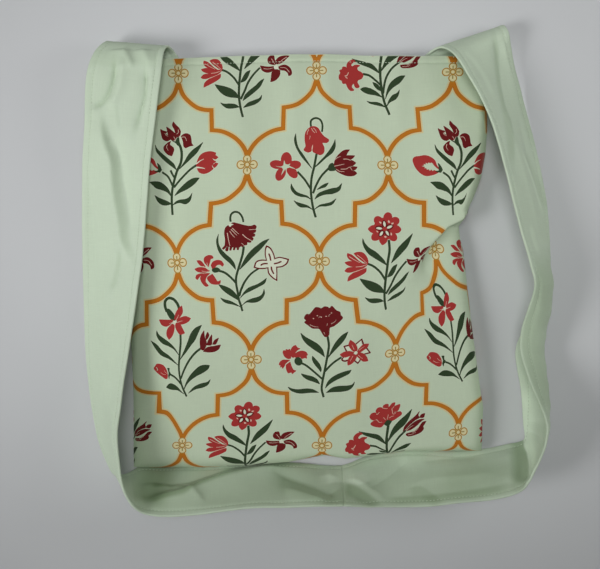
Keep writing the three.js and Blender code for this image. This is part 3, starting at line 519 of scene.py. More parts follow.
            ("green", "stem 26 24", "430,1092 510,1130 580,1190 645,1262"),
            ("green", "leaf", "270,420 300,480 380,540 480,610 560,690 622,792 / 540,700 460,655 350,610 290,550 262,480"),
            ("green", "leaf", "154,568 250,630 330,720 450,800 603,948 / 450,850 290,780 220,690"),
            ("green", "leaf", "992,344 890,390 820,470 770,590 710,720 636,860 / 750,730 820,640 880,570 930,470"),
            ("green", "leaf", "282,1304 340,1260 400,1240 480,1255 560,1300 620,1360 684,1422 / 560,1355 440,1345 350,1330"),
            ("green", "leaf", "1108,954 1050,945 960,960 850,1050 770,1150 700,1290 688,1348 / 730,1270 790,1200 900,1120 980,1080 1080,1010"),
            ("green", "leaf", "1116,1178 1070,1220 960,1250 860,1300 755,1412 / 880,1340 1000,1310 1080,1260"),
            ("pink", "leaf", "682,58 630,100 585,170 564,252 / 600,262 650,220 692,150"),
            ("pink", "leaf", "818,244 740,215 660,235 596,282 / 650,328 730,316 790,282"),
            ("pink", "leaf", "588,308 640,320 690,400 722,462 / 650,478 600,420 578,360"),
            ("pink", "leaf", "465,553 433,490 450,400 525,325 / 556,345 546,440 512,510"),
            ("pink", "leaf", "322,260 420,264 545,268 / 500,322 430,358 358,332"),
            ("cream", "blob", "540,285 575,275 600,292 575,318 550,312"),
            ("pale", "stem 9 5", "592,262 615,225 630,190"), ("pale", "stem 9 5", "610,302 650,288 690,280"), ("pale", "stem 8 5", "566,318 570,345 566,372"), ("pale", "stem 8 5", "545,298 510,310 480,318"),
            ("dark", "leaf", "1026,428 980,500 963,580 968,692 / 1004,718 1052,662 1062,602 1034,520"),
            ("dark", "leaf", "1082,448 1052,508 / 1060,562 1104,500"), ("dark", "leaf", "1148,488 1100,560 1064,642 / 1138,640 1148,580"),
            ("dark", "leaf", "1254,538 1190,575 1158,632 / 1202,632 1232,590"),
            ("dark", "leaf", "1284,642 1180,660 1072,680 1008,736 / 1100,748 1192,738 1252,702"),
            ("pink", "blob", "120,992 150,960 185,925 250,925 310,950 350,1010 362,1060 342,1150 300,1160 230,1120 150,1050"),
            ("ground", "stem 9 7", "158,975 178,1002 162,1030"), ("pale", "stem 7 5", "300,1025 330,1062 352,1072"), ("pale", "stem 6 4", "220,1060 270,1090 320,1092"),
            ("green", "leaf", "378,988 424,988 / 415,1040 444,1088 / 404,1116 386,1166 / 374,1120 392,1060"),
        ]),
    ],
    "big_carnation": [
        (756, 823, 14.93 / 0.979, 14.93 / 1.035, [
            ("green", "stem 28 26", "862,470 880,600 868,700 840,850 810,1000 780,1150 765,1280 792,1412"),
            ("green", "stem 24 22", "470,850 540,890 640,980 775,1115"),
            ("green", "stem 24 26", "1065,795 960,860 880,930 812,1002"),
            ("green", "leaf", "462,414 530,470 640,530 730,590 790,670 817,774 / 740,710 640,640 540,560 488,490"),
            ("green", "leaf", "1168,413 1080,460 1000,540 940,630 866,790 / 920,730 1000,650 1080,570 1130,500"),
            ("green", "leaf", "634,748 680,800 740,880 765,960 757,1004 / 720,950 660,870 630,800"),
            ("green", "leaf", "462,1013 540,1040 630,1070 700,1120 738,1196 / 640,1150 550,1110 490,1060"),
            ("green", "leaf", "1213,1008 1110,1025 1000,1060 900,1120 850,1180 818,1270 / 880,1210 980,1150 1100,1100 1180,1060"),
            ("green", "leaf", "262,1218 330,1250 400,1265 560,1260 640,1280 722,1334 / 600,1328 450,1332 370,1312 300,1272"),
            ("green", "leaf", "1257,1203 1220,1245 1150,1255 1020,1250 920,1270 830,1342 / 930,1338 1080,1342 1180,1322 1240,1262"),
            ("dark", "blob", "523,190 556,152 592,156 640,110 688,60 740,64 770,76 820,50 868,58 892,74 926,44 970,84 1000,110 1046,130 1056,170 1086,206 1040,260 990,300 940,330 896,346 886,400 880,450 832,476 800,450 770,400 740,360 640,350 580,310 522,264 548,240 522,214"),
            ("pale", "oval 10 7 0 0", "655,215 712,175 770,198 842,186 920,140"), ("pale", "stem 7 4", "600,300 660,326 726,336"), ("pale", "stem 7 4", "915,292 960,270 992,238"),
            ("pale", "stem 6 4", "862,286 852,322"), ("pale", "stem 7 4", "806,408 826,442"), ("pale", "stem 6 4", "735,205 752,185 772,190"), ("pale", "stem 6 4", "880,190 890,165 905,155"),
            ("pink", "leaf", "308,732 318,650 350,602 386,588 / 412,622 452,636 / 415,652 380,690 352,762"),
            ("pink", "leaf", "362,742 400,692 480,670 540,690 562,730 / 545,742 550,782 / 520,770 480,782 450,756 385,762"),
            ("pink", "leaf", "300,640 312,772 / 270,776 220,742 194,680 / 212,658 236,672 / 245,644 268,652"),
            ("pink", "leaf", "296,800 232,850 212,890 188,924 / 178,895 150,905 / 165,880 136,868 / 150,828 192,798"),
            ("pink", "leaf", "242,870 300,828 / 322,900 348,950 388,966 / 362,985 330,1012 / 318,985 298,990 / 272,996 244,930"),
            ("green", "blob", "370,830 376,785 410,760 460,780 482,830 460,875 420,882 385,860"),
            ("dark", "leaf", "1282,604 1376,536 / 1402,620 / 1380,622 / 1364,562 / 1298,612"),
            ("dark", "leaf", "1182,610 1100,626 / 1136,708 / 1152,700 / 1122,640 / 1186,630"),
            ("dark", "leaf", "1448,684 1506,776 / 1412,786 / 1412,768 / 1478,762 / 1434,696"),
            ("dark", "leaf", "1258,872 1310,922 / 1354,866 / 1338,858 / 1310,896 / 1274,864"),
            ("dark", "leaf", "1094,792 1066,832 1108,866 1194,848 / 1188,830 1116,846 1086,830 1104,802"),
            ("cream", "leaf", "1298,612 1364,562 / 1380,622 / 1330,680"), ("cream", "leaf", "1186,630 1122,640 / 1152,700 / 1210,690"),
            ("cream", "leaf", "1434,696 1478,762 / 1412,768 / 1370,740"), ("cream", "leaf", "1274,864 1310,896 / 1338,858 / 1300,800"),
            ("cream", "leaf", "1104,802 1086,830 1116,846 / 1188,830 / 1200,790"),
            ("pink", "leaf", "1200,543 1178,610 1220,690 1272,738 / 1302,700 1282,620 1236,570"),
            ("pink", "leaf", "1478,630 1400,630 1330,690 1296,742 / 1342,744 1402,712 1452,682"),
            ("pink", "leaf", "1462,897 1442,830 1402,780 1316,738 / 1296,782 1350,852 1392,892"),
            ("pink", "leaf", "1162,928 1158,880 1190,800 1265,755 / 1292,790 1270,852 1210,912"),
            ("pink", "leaf", "1047,750 1110,718 1190,713 1258,740 / 1212,772 1120,798 1074,782"),
            ("cream", "oval 26 26 0 0", "1282,746"), ("pale", "stem 7 4", "1255,690 1240,650 1226,620"), ("pale", "stem 7 4", "1330,712 1372,682 1410,662"),
            ("pale", "stem 7 4", "1318,784 1352,822 1384,850"), ("pale", "stem 7 4", "1238,790 1212,834 1196,870"),
        ]),
    ],
}

# lattice of the print on the flat cloth
CELL = dict(u=16.5, v=20.2, wide=136.8, high=189.5, tilt=0.0125)
# one branch, from a knot down to the next on the right: fractions are of half a cell
BRANCH = [[(0, 9), (4.6, 21.4), (12.2, 29.8), (19.9, 35.2), (27.5, 37.5), (33.6, 38.2)],
          [(34.4, 59.7), (42.8, 61.2), (51.4, 65), (60.0, 71.2), (66.4, 78.8), (69.1, 84), (70.5, 89)]]
ROWS = [["daisy", "carnations"], ["iris", "bluebell"], ["bell", "daisy"], ["star", "big_carnation"]]
# the two printings drift a little over the cloth: place, shift and reach, in millimetres
LATTICE_DRIFT = np.array([[122, 50, -6.4, 0.5, 46], [-100, 165, -4.4, 0.0, 40], [-82, 205, -2.0, -1.0, 32], [141, 140, 3.6, -1.5, 36], [78, 285, 6.0, 0.5, 46], [122, 338, 4.6, 1.0, 42],
                          [-10, 341, 2.4, -0.5, 40], [-105, 50, 1.0, 3.4, 46], [0, 130, -0.8, -2.6, 150], [0, 270, 0.6, -1.6, 110], [-147, 352, 6.6, -3.4, 24]], float)
SPRAY_DRIFT = np.array([[141, 52, -4.8, -1.6, 34], [-60, 22, -1.8, -2.2, 42], [60, 22, -2.2, -0.6, 42], [86, 205, 2.9, 0.0, 48], [124, 340, 4.2, -1.0, 46], [141, 270, -1.2, -1.8, 28]], float)


INK = dict(green=0.28, pink=0.4, dark=0.34)


def chart_spray(name, step=0.7):
    """A spray's shapes in millimetres about the middle of its cell."""
    out = []
    for cx, cy, kx, ky, shapes in SPRAYS[name]:
        for colour, kind, text in shapes:
            for poly in shape(kind, text, step * kx):
                poly = (poly - (cx, cy)) / (kx, ky)
                # ink spreads a little into the cloth
                out.append((colour, grown(poly, INK[colour]) if colour in INK else poly))
    return out


def print_chart():
    """All shapes of the print over the flat panel, lowest first, as (colour, outline)."""
    sprays = {name: chart_spray(name) for name in SPRAYS}
    sx, sy = CELL["wide"] / 141.5, CELL["high"] / 193.5
    branches, bleed = [], []
    for mirror in (1, -1):
        line = np.vstack([curve_through(part, 2.2) for part in BRANCH]) * (sx * mirror, sy)
        branches.append(("orange_rim", stroke(line, 4.2)))
        # the orange runs a little into the cloth beside it
        bleed.append(("bleed", stroke(line, 7.2)))
    inner = [("orange", stroke(np.vstack([curve_through(part, 2.2) for part in BRANCH]) * (sx * m, sy), 3.15)) for m in (1, -1)]
    petals = ((0, -6.0, 4.0, 4.2, -90), (6.3, 0, 4.2, 4.5, 0), (0, 6.5, 4.2, 4.2, 90), (-6.3, 0, 4.2, 4.5, 180))
    knot = [("knot_rim", oval(dx * sx, dy * sy, a, b, turn, 22)) for dx, dy, a, b, turn in petals]
    for dx, dy, a, b, turn in petals:
        knot.append(("knot", oval(dx * sx, dy * sy, a - 1.15, b - 1.15, turn, 22)))
        r = math.radians(turn)
        knot.append(("tick", stroke(np.array([[dx * sx * 0.5, dy * sy * 0.5], [dx * sx + 0.6 * math.cos(r), dy * sy + 0.6 * math.sin(r)]]), 0.8, 1.0)))
    knot += [("knot_rim", oval(0, 0, 2.9, 2.9, 0, 16)), ("knot", oval(0, 0, 1.75, 1.75, 0, 14))]
    under, out, top = [], [], []

    def at(shapes, u, v, drift):
        v += CELL["tilt"] * (u - CELL["u"])
        done = []
        for c, p in shapes:
            p = p + (u, v)
            near = np.exp(-((p[:, None] - drift[:, :2]) ** 2).sum(2) / drift[:, 4] ** 2)
            done.append((c, p + near @ drift[:, 2:4]))
        return done

    for row in range(-2, 6):
        for col in range(-2, 3):
            u = CELL["u"] + (col + 0.5 * (row % 2)) * CELL["wide"]
            v = CELL["v"] + row * CELL["high"] / 2
            under += at(bleed, u, v, LATTICE_DRIFT)
            out += at(branches, u, v, LATTICE_DRIFT)
            top += at(inner, u, v, LATTICE_DRIFT) + at(knot, u, v, LATTICE_DRIFT)
    out = under + out + top
    for row in range(0, 5):
        kinds = ROWS[row % 4]
        for col in range(-2, 3):
            u = CELL["u"] + (col + 0.5 * ((row + 1) % 2)) * CELL["wide"]
            name = kinds[(col + 1) % 2]
            out += at(sprays[name], u, CELL["v"] + row * CELL["high"] / 2, SPRAY_DRIFT)
    out = [(c, p) for c, p in out if p[:, 0].max() > -205 and p[:, 0].min() < 205 and p[:, 1].max() > -3 and p[:, 1].min() < 445]
    halo = [("halo", grown(p, 0.5)) for c, p in out if c in ("knot_rim", "green", "pink", "dark")]
    lowest = [s for s in out if s[0] == "bleed"]
    return lowest + halo + [s for s in out if s[0] != "bleed"]


# ---------------------------------------------------------------- meshes
def to_object(name, points, faces, material, normals=None):
    me = bpy.data.meshes.new(name)
    me.from_pydata(((np.asarray(points) + SHIFT) / 1000.0).tolist(), [], [list(map(int, f)) for f in faces])
    me.polygons.foreach_set("use_smooth", np.ones(len(me.polygons), bool))
    for m in material if isinstance(material, (list, tuple)) else [material]:
        me.materials.append(m)
    if normals is not None:
        me.normals_split_custom_set_from_vertices(np.asarray(normals).tolist())
    me.update()
    ob = bpy.data.objects.new(name, me)
    bpy.context.scene.collection.objects.link(ob)
    return ob


def corner_uv(me, name, per_vertex):
    layer = me.uv_layers.new(name=name)
    idx = np.empty(len(me.loops), np.int32)
    me.loops.foreach_get("vertex_index", idx)
    layer.data.foreach_set("uv", np.asarray(per_vertex, np.float32)[idx].ravel())


def corner_colour(me, per_face):
    attr = me.color_attributes.new("Print", "FLOAT_COLOR", "CORNER")
    sizes = np.empty(len(me.polygons), np.int32)
    me.polygons.foreach_get("loop_total", sizes)
    rgba = np.concatenate([per_face, np.ones((len(per_face), 1))], 1)
    attr.data.foreach_set("color", np.repeat(rgba, sizes, axis=0).astype(np.float32).ravel())


def surface_normals(place, u, v, flip):
    e = 0.35
    a, b = np.stack(place(u + e, v), 1) - np.stack(place(u - e, v), 1), np.stack(place(u, v + e), 1) - np.stack(place(u, v - e), 1)
    n = np.cross(b, a) * (-1 if flip else 1)
    return n / np.maximum(np.linalg.norm(n, axis=1), 1e-9)[:, None]


def spaced(fine, upto, step, end):
    a = list(np.arange(fine, upto, fine)) + list(np.arange(upto, end / 2, step))
    return a


def panel(name, place, flip, material, mirror, thick):
    """Closed cloth panel: printed face, plain reverse, and the rim between them."""
    edge = []
    r, l = float(track(SIDES, 2, np.array(0.0))), float(track(SIDES, 1, np.array(0.0)))
    dip_r, dip_l = float(mouth_dip(np.array(r))), float(mouth_dip(np.array(l)))
    for v in np.linspace(dip_r, PANEL_LONG, 144)[:-1]:
        edge.append((float(track(SIDES, 2, np.array(v))), v))
    r = float(track(SIDES, 2, np.array(PANEL_LONG)))
    l = float(track(SIDES, 1, np.array(PANEL_LONG)))
    edge += [(u, PANEL_LONG) for u in np.linspace(r, l, 150)[:-1]]
    for v in np.linspace(PANEL_LONG, dip_l, 144)[:-1]:
        edge.append((float(track(SIDES, 1, np.array(v))), v))
    r, l = float(track(SIDES, 2, np.array(dip_r))), float(track(SIDES, 1, np.array(dip_l)))
    edge += [(u, float(mouth_dip(np.array(u)))) for u in np.linspace(l, r, 160)[:-1]]
    rows = [0.8, 1.8, 2.9, 4.0, 5.0, 5.8, 6.6, 7.4, 8.2, 9.2, 10.5, 12.0, 13.8, 15.9, 18.4] + list(np.arange(21, 405, 3.0)) + list(np.arange(406, 437.5, 2.0))
    cols = [1.0, 2.2, 3.6, 5.2] + list(np.arange(7, 40, 2.2)) + list(np.arange(41, 186, 3.0))
    inside = []
    for v in rows:
        a, b = float(track(SIDES, 1, np.array(v))), float(track(SIDES, 2, np.array(v)))
        half = (b - a) / 2
        k = half / 187.0
        line = [a + c * k for c in cols if c * k < half - 0.8] + [b - c * k for c in cols if c * k < half - 0.8]
        if v < 60:
            drop = mouth_dip(np.array(line)) * (1 - smooth(20, 60, v))
            inside += [(c, v + d) for c, d in zip(line, drop.tolist())]
        else:
            inside += [(c, v) for c in line]
    polys = [(c, anticlockwise(p * (-1, 1) - (5.0, 0)) if mirror else anticlockwise(p)) for c, p in print_chart()]
    coords, faces = list(edge), [list(range(len(edge)))]
    for c, p in polys:
        faces.append(list(range(len(coords), len(coords) + len(p))))
        coords += [tuple(q) for q in p]
    coords += inside
    res = delaunay_2d_cdt([Vector(c) for c in coords], [], faces, 0, 1e-4, True)
    uv, tris = np.array([tuple(c) for c in res[0]]), np.array(res[2])
    owner = [max(o) if o and min(o) == 0 else -1 for o in res[5]]
    keep = np.array([o >= 0 for o in owner])
    tris, owner = tris[keep], np.array(owner)[keep]
    used = np.unique(tris)
    remap = -np.ones(len(uv), int)
    remap[used] = np.arange(len(used))
    uv, tris = uv[used], remap[tris]
    area = np.cross(uv[tris[:, 1]] - uv[tris[:, 0]], uv[tris[:, 2]] - uv[tris[:, 0]])
    tris[area < 0] = tris[area < 0][:, ::-1]

    # rim loop of the printed face, in order
    count = {}
    for t in tris:
        for a, b in ((t[0], t[1]), (t[1], t[2]), (t[2], t[0])):
            count[(int(a), int(b))] = True
    nxt = {a: b for a, b in count if (b, a) not in count}
    start = min(nxt)
    loop = [start]
    while nxt[loop[-1]] != start:
        loop.append(nxt[loop[-1]])
    loop = np.array(loop)

    # reverse: coarser, on the same rim
    coarse = [(a + (b - a) * f, max(v, float(mouth_dip(np.array(a + (b - a) * f))) + 1.5)) for v in np.concatenate([[2, 5, 9, 14, 19], np.arange(26, 400, 7.0), [406, 412, 418, 424, 429, 433]])
              for a, b in [(float(track(SIDES, 1, np.array(v))), float(track(SIDES, 2, np.array(v))))]
              for f in np.concatenate([[0.006, 0.015, 0.03, 0.05, 0.07], np.linspace(0.09, 0.91, 46), [0.93, 0.95, 0.97, 0.985, 0.994]])]
    back = delaunay_2d_cdt([Vector(tuple(c)) for c in uv[loop]] + [Vector(c) for c in coarse], [], [list(range(len(loop)))], 0, 1e-4, True)
    uv2, tri2 = np.array([tuple(c) for c in back[0]]), np.array(back[2])
    tri2 = tri2[np.array([bool(o) for o in back[5]])]
    ids2 = np.full(len(loop), -1)
    for k, o in enumerate(back[3]):
        for i in o:
            if i < len(loop):
                ids2[i] = k
    area = np.cross(uv2[tri2[:, 1]] - uv2[tri2[:, 0]], uv2[tri2[:, 2]] - uv2[tri2[:, 0]])
    tri2[area > 0] = tri2[area > 0][:, ::-1]

    face_p, face_n = np.stack(place(uv[:, 0], uv[:, 1]), 1), surface_normals(place, uv[:, 0], uv[:, 1], flip)
    rev_n = surface_normals(place, uv2[:, 0], uv2[:, 1], flip)
    sewn = np.minimum(np.minimum(uv2[:, 0] - track(SIDES, 1, uv2[:, 1]), track(SIDES, 2, uv2[:, 1]) - uv2[:, 0]), PANEL_LONG - uv2[:, 1])
    flat = rev_n.copy()
    flat[:, 2] *= smooth(0.5, 6.0, sewn)
    flat /= np.maximum(np.linalg.norm(flat, axis=1), 1e-6)[:, None]
    rev_p = np.stack(place(uv2[:, 0], uv2[:, 1]), 1) - flat * thick(uv2[:, 1])[:, None]
    rev_p[:, 2] = np.maximum(rev_p[:, 2], 0.02)

    # rim rows, rounded over at the mouth
    n0, n1, m = len(uv), len(uv2), len(loop)
    a, b = face_p[loop], rev_p[ids2]
    down = np.stack([np.zeros(m), np.ones(m), np.zeros(m)], 1)
    mouth = (uv[loop, 1] < mouth_dip(uv[loop, 0]) + 0.01).astype(float)[:, None]
    steps, rim_p, rim_n = 4, [], []
    for k in range(1, steps):
        w = k / steps
        ang = math.pi * w
        mid, half = (a + b) / 2, (a - b) / 2
        rim_p.append(a + (b - a) * w + mouth * (mid + half * math.cos(ang) + down * np.linalg.norm(half, axis=1)[:, None] * math.sin(ang) * 0.9 - (a + (b - a) * w)))
        hn = half / np.maximum(np.linalg.norm(half, axis=1), 1e-6)[:, None]
        rim_n.append(hn * math.cos(ang) + down * math.sin(ang))
    points = np.vstack([face_p, rev_p] + rim_p)
    normals = np.vstack([face_n, -rev_n] + rim_n)
    ring = [loop] + [n0 + n1 + k * m + np.arange(m) for k in range(steps - 1)] + [n0 + ids2]
    rim = []
    for p, q in zip(ring[:-1], ring[1:]):
        i, j = np.arange(m), np.roll(np.arange(m), -1)
        rim.append(np.stack([p[j], p[i], q[i]], 1))
        rim.append(np.stack([p[j], q[i], q[j]], 1))
    rim = np.vstack(rim)
    tris_all = np.vstack([tris, n0 + tri2, rim])
    if not flip:
        tris_all = tris_all[:, ::-1]
    ob = to_object(name, points, tris_all, material, normals)
    me = ob.data
    plain = linear(COLOUR["reverse"])
    lookup = np.array([linear(COLOUR["ground"])] + [linear(COLOUR[c]) for c, _ in polys])
    corner_colour(me, np.vstack([lookup[owner], np.repeat(plain[None], len(tri2) + len(rim), 0)]))
    flat_uv = np.vstack([uv, uv2 + (600, 0)] + [uv[loop] + (0, -(k + 1.0)) for k in range(steps - 1)]) / 1000.0
    corner_uv(me, "Flat", flat_uv)
    bake = np.vstack([(uv + (205, 6)) / 640.0, (uv2 + (205, 6)) / 1290.0 + (0.66, 0.02)] + [(uv[loop] + (205, 6)) / 640.0 for _ in range(steps - 1)])
    bake[n0 + n1:] = bake[n0 + n1:] * 0.3 + (0.66, 0.6)
    corner_uv(me, "OFBake", bake)
    return ob, dict(place=place, flip=flip)


# ---------------------------------------------------------------- strap
def edge_curve(points, s):
    """Centripetal curve through stations, at station numbers s."""
    p = np.vstack([2 * points[0] - points[1], points, 2 * points[-1] - points[-2]])
    i = np.clip(np.floor(s).astype(int), 0, len(points) - 2)
    w = (s - i)[:, None]
    a, b, c, d = p[i], p[i + 1], p[i + 2], p[i + 3]
    t0, t1, t2 = (np.maximum(np.linalg.norm(q - r, axis=1), 1e-4)[:, None] ** 0.5 for r, q in ((a, b), (b, c), (c, d)))
    m1 = ((b - a) / t0 - (c - a) / (t0 + t1) + (c - b) / t1) * t1
    m2 = ((c - b) / t1 - (d - b) / (t1 + t2) + (d - c) / t2) * t1
    return b * (1 + 2 * w) * (1 - w) ** 2 + m1 * w * (1 - w) ** 2 + c * w * w * (3 - 2 * w) + m2 * w * w * (w - 1)


def strap_mid(s, g):
    """Middle surface of the strap at stations s and fractions g across (0 floor side, 1 free edge)."""
    a, b = edge_curve(STRAP[:, 0:3], s), edge_curve(STRAP[:, 3:6], s)
    lo, hi = np.clip(s - 0.02, 0, len(STRAP) - 1), np.clip(s + 0.02, 0, len(STRAP) - 1)
    ta, tb = edge_curve(STRAP[:, 0:3], hi) - edge_curve(STRAP[:, 0:3], lo), edge_curve(STRAP[:, 3:6], hi) - edge_curve(STRAP[:, 3:6], lo)
    ta /= np.linalg.norm(ta, axis=1)[:, None]
    tb /= np.linalg.norm(tb, axis=1)[:, None]
    out = np.cross(ta + tb, b - a)
    out /= np.linalg.norm(out, axis=1)[:, None]
    i = np.clip(np.floor(s).astype(int), 0, len(STRAP) - 2)
    w = s - i
    e = w * w * (3 - 2 * w)
    bow = STRAP[i, 6] * (1 - e) + STRAP[i + 1, 6] * e
    return a[:, None] + (b - a)[:, None] * g[None, :, None] + out[:, None] * (bow[:, None] * 4 * g * (1 - g))[..., None]


def seen(p):
    """Where plan points show in the picture."""
    k = 1 - p[..., 2] / EYE
    return np.stack([IMAGE[0] / 2 + p[..., 0] / k, IMAGE[1] / 2 - p[..., 1] / k], -1)


# folds of the strap, along lines in the picture: height (mm, negative sinks), width on the line's left and
# right (lines run down or to the right, so right means east or north), stretch of stations
FOLDS = [
    (-4.4, 5, 3, 4, 13, "116,60 115,74 112,86 107,97 100,105 91,110"),
    (3.0, 4, 6, 4, 13, "123,56 122,72 120,86 115,99 107,109"),
    (-4.2, 6, 2.5, 4, 13, "146,64 146,80 145,96 141,112 136,132"),
    (7.0, 12, 5, 4, 15, "96,112 101,122 103,133 107,146 112,160 114,180 117,200 121,220 124,240 127,252 132,264"),
    (-2.4, 4, 8, 4, 15, "110,132 117,147 121,163 123,182 127,202 130,222 133,242"),
    (-2.0, 5, 3, 6, 15, "123,250 121,262 118,276 113,292"),
    (3.2, 8, 4, 4, 13, "112,43 121,49 128,58 133,70"),
    (2.6, 5, 7, 4, 13, "138,46 145,55 150,66"),
    (-1.8, 9, 4, 4, 15, "88,170 92,215 95,255 98,300"),
    (2.2, 11, 5, 6, 15, "99,290 105,325 110,360 113,392"),
    (2.0, 9, 4, 10, 16, "98,372 108,396 116,424 122,452"),
    (7.0, 13, 5, 17, 24, "137,504 164,499 188,494 201,487 222,480 242,476 266,472 296,468"),
    (-2.6, 5, 9, 17, 24, "148,482 176,484 200,479 228,470"),
    (2.4, 6, 3, 17, 24, "170,488 186,489 197,497 205,505"),
    (2.0, 5, 3, 17, 24, "140,488 156,487 172,488"),
    (-3.4, 5, 8, 21, 27, "270,473 296,481 322,491 344,500"),
    (3.0, 8, 4, 21, 27, "284,490 308,497 330,503"),
    (2.8, 4, 12, 22, 27, "316,476 340,479 358,483 372,491 387,502"),
    (-2.6, 8, 4, 22, 27, "334,492 350,494 364,500 378,507"),
    (-2.8, 9, 5, 23, 29, "364,492 380,482 396,470 410,458"),
    (2.0, 6, 10, 24, 30, "404,488 430,480 462,478 500,474"),
    (-2.0, 6, 9, 24, 30, "420,462 450,458 486,456"),
    (-3.6, 4, 7, 28, 33, "524,444 527,462 526,484"),
    (2.2, 9, 5, 28, 33, "508,450 511,468 510,486"),
    (2.4, 4, 9, 42, 49, "500,100 510,135 521,170 531,205 540,240"),
    (-2.0, 4, 8, 42, 48, "516,112 526,150 536,185 543,215"),
    (-2.8, 5, 9, 45, 51, "494,32 498,60 503,90 510,124"),
    (2.0, 4, 8, 45, 51, "503,36 507,64 514,100"),
    (0.8, 6, 9, 38, 44, "541,262 541,296 535,332"),
]
# painted shade along those folds: darker in their creases, at the strap's inner corners and over the bottom run, and
# painted light where paler:
# depth of the painted shade (negative is painted light), how far it spreads from its line (positive east or north,
# negative west or south), softness at the line, stretch of stations
PAINTED_SHADES = [
    (0.12, -7, 1.2, 4, 13, "117,58 116,74 114,86 109,98 102,106 92,111"),
    (0.08, -8, 1.2, 4, 13, "148,66 149,82 147,100 142,116 136,138"),
    (0.11, 9, 1.2, 4, 15, "99,114 102,130 106,145 112,160 114,180 117,200 121,220 124,240 128,252 133,264"),
    (0.08, -6, 1.2, 6, 15, "123,250 121,262 118,276 113,292"),
    (0.06, 5, 1.0, 4, 15, "115,104 116,116 118,128"),
    (0.06, 26, 3.0, 4, 13, "86,71 94,66 112,67 134,66 162,68"),
    (0.14, 60, 4.0, 17, 31, "112,512 160,514 220,509 300,506 380,506 450,503 520,492"),
    (0.32, -46, 12.0, 14, 23, "176,456 170,480 160,512"),
    (0.28, 11, 1.8, 17, 25, "146,505 160,503 188,497 197,491 222,482 245,476 268,471 298,467 316,470"),
    (0.16, 6, 1.2, 17, 24, "150,489 172,489 190,494"),
    (0.15, -24, 1.4, 21, 26, "276,474 290,477 312,485 332,493 342,488"),
    (0.22, -15, 1.4, 22, 28, "344,485 356,487 366,493 382,505"),
    (-0.20, 17, 1.6, 22, 28, "324,485 344,483 362,486 372,480"),
    (0.12, -14, 1.4, 23, 29, "408,489 420,487 432,494 444,503"),
    (0.19, -11, 2.0, 24, 31, "384,498 430,496 470,491 512,484"),
    (0.08, -26, 6.0, 25, 31, "440,474 470,470 500,466 516,462"),
    (0.32, -17, 1.2, 27, 33, "523,438 525,450 527,466 526,488"),
    (-0.15, 15, 1.6, 28, 41, "519,386 522,402 524,420 525,440 527,466 526,488"),
    (-0.15, 14, 1.6, 28, 36, "524,424 525,440 527,466 526,488"),
    (0.17, 30, 2.0, 34, 47, "531,254 535,280 531,302 525,320 521,342 524,362 532,385 541,408 546,424"),
    (0.13, -8, 1.2, 42, 52, "495,30 499,48 500,66 502,84 505,100 508,118 511,140 514,170"),
    (0.09, 10, 1.4, 42, 52, "505,34 510,56 514,80 518,104 525,130 531,152"),
    (-0.12, -4, 1.0, 40, 50, "521,152 527,166 534,183 539,199 542,212"),
    (0.08, 8, 1.0, 40, 50, "521,152 527,166 534,183 539,199 542,212"),
    (-0.10, 5, 1.2, 38, 48, "528,226 531,238 536,254"),
    (-0.10, 6, 1.6, 45, 53, "461,52 472,63 482,78 491,97"),
]
STITCH_PITCH, STITCH_LONG = 3.5, 2.7
COLUMNS = np.array([0, 0.35, 0.8, 1.4, 2.4, 3.8, 5.0, 5.8, 6.4, 7.0, 7.8, 9.0, 10.4, 11.8, 13.2, 14.6, 16, 17.5, 19, 20.5, 22, 23.5, 25, 26.5, 28, 29.5, 31, 32.5, 34])
STRAP_ROW = 1.8


def beside(line, p):
    """Distance of picture points from a line, how far along it they are, and how far to its right."""
    best, where, turn = np.full(p.shape[:2], 1e9), np.zeros(p.shape[:2]), np.zeros(p.shape[:2])
    for k in range(len(line) - 1):
        a, b = line[k], line[k + 1]
        d = b - a
        t = np.clip(((p - a) @ d) / (d @ d), 0, 1)
        away = p - (a + t[..., None] * d)
        r = np.linalg.norm(away, axis=-1)
        near = r < best
        where = np.where(near, (k + t) / (len(line) - 1), where)
        turn = np.where(near, (d[1] * away[..., 0] - d[0] * away[..., 1]) / np.hypot(*d), turn)
        best = np.where(near, r, best)
    return best, where, turn


def painted_fold_shade(mid, stations):
    """Painted shade along the folds, and painted light where it is negative, over a grid of the strap's middle surface.
    """
    px = seen(mid)
    shade = np.zeros(mid.shape[:2])
    for depth, spread, soft, lo, hi, text in PAINTED_SHADES:
        rows = (stations >= lo) & (stations <= hi)
        if not rows.any():
            continue
        best, where, turn = beside(curve_through(read(text)[0], 3.0), px[rows])
        side, reach = turn * np.sign(spread), abs(spread)
        past = np.sqrt(np.maximum(best ** 2 - turn ** 2, 0))
        f = smooth(-soft, soft, side) * (1 - smooth(0.4 * reach, reach, side)) * (1 - smooth(0, 7, past))
        shade[rows] += depth * f * (0.25 + 0.75 * smooth(0, 0.14, where) * smooth(0, 0.14, 1 - where))
    return shade


def fold_height(mid, stations):
    """Height of the soft folds over a grid of the strap's middle surface."""
    px = seen(mid)
    lift = np.zeros(mid.shape[:2])
    for depth, wide_l, wide_r, lo, hi, text in FOLDS:
        rows = (stations >= lo) & (stations <= hi)
        if not rows.any():
            continue
        best, where, turn = beside(curve_through(read(text)[0], 3.0), px[rows])
        width = wide_l + (wide_r - wide_l) * smooth(-1.0, 1.0, turn)
        taper = smooth(0, 0.22, where) * smooth(0, 0.22, 1 - where)
        lift[rows] += depth * np.exp(-1.1 * (best / width) ** 1.25) * (0.05 + 0.95 * taper)
    return lift


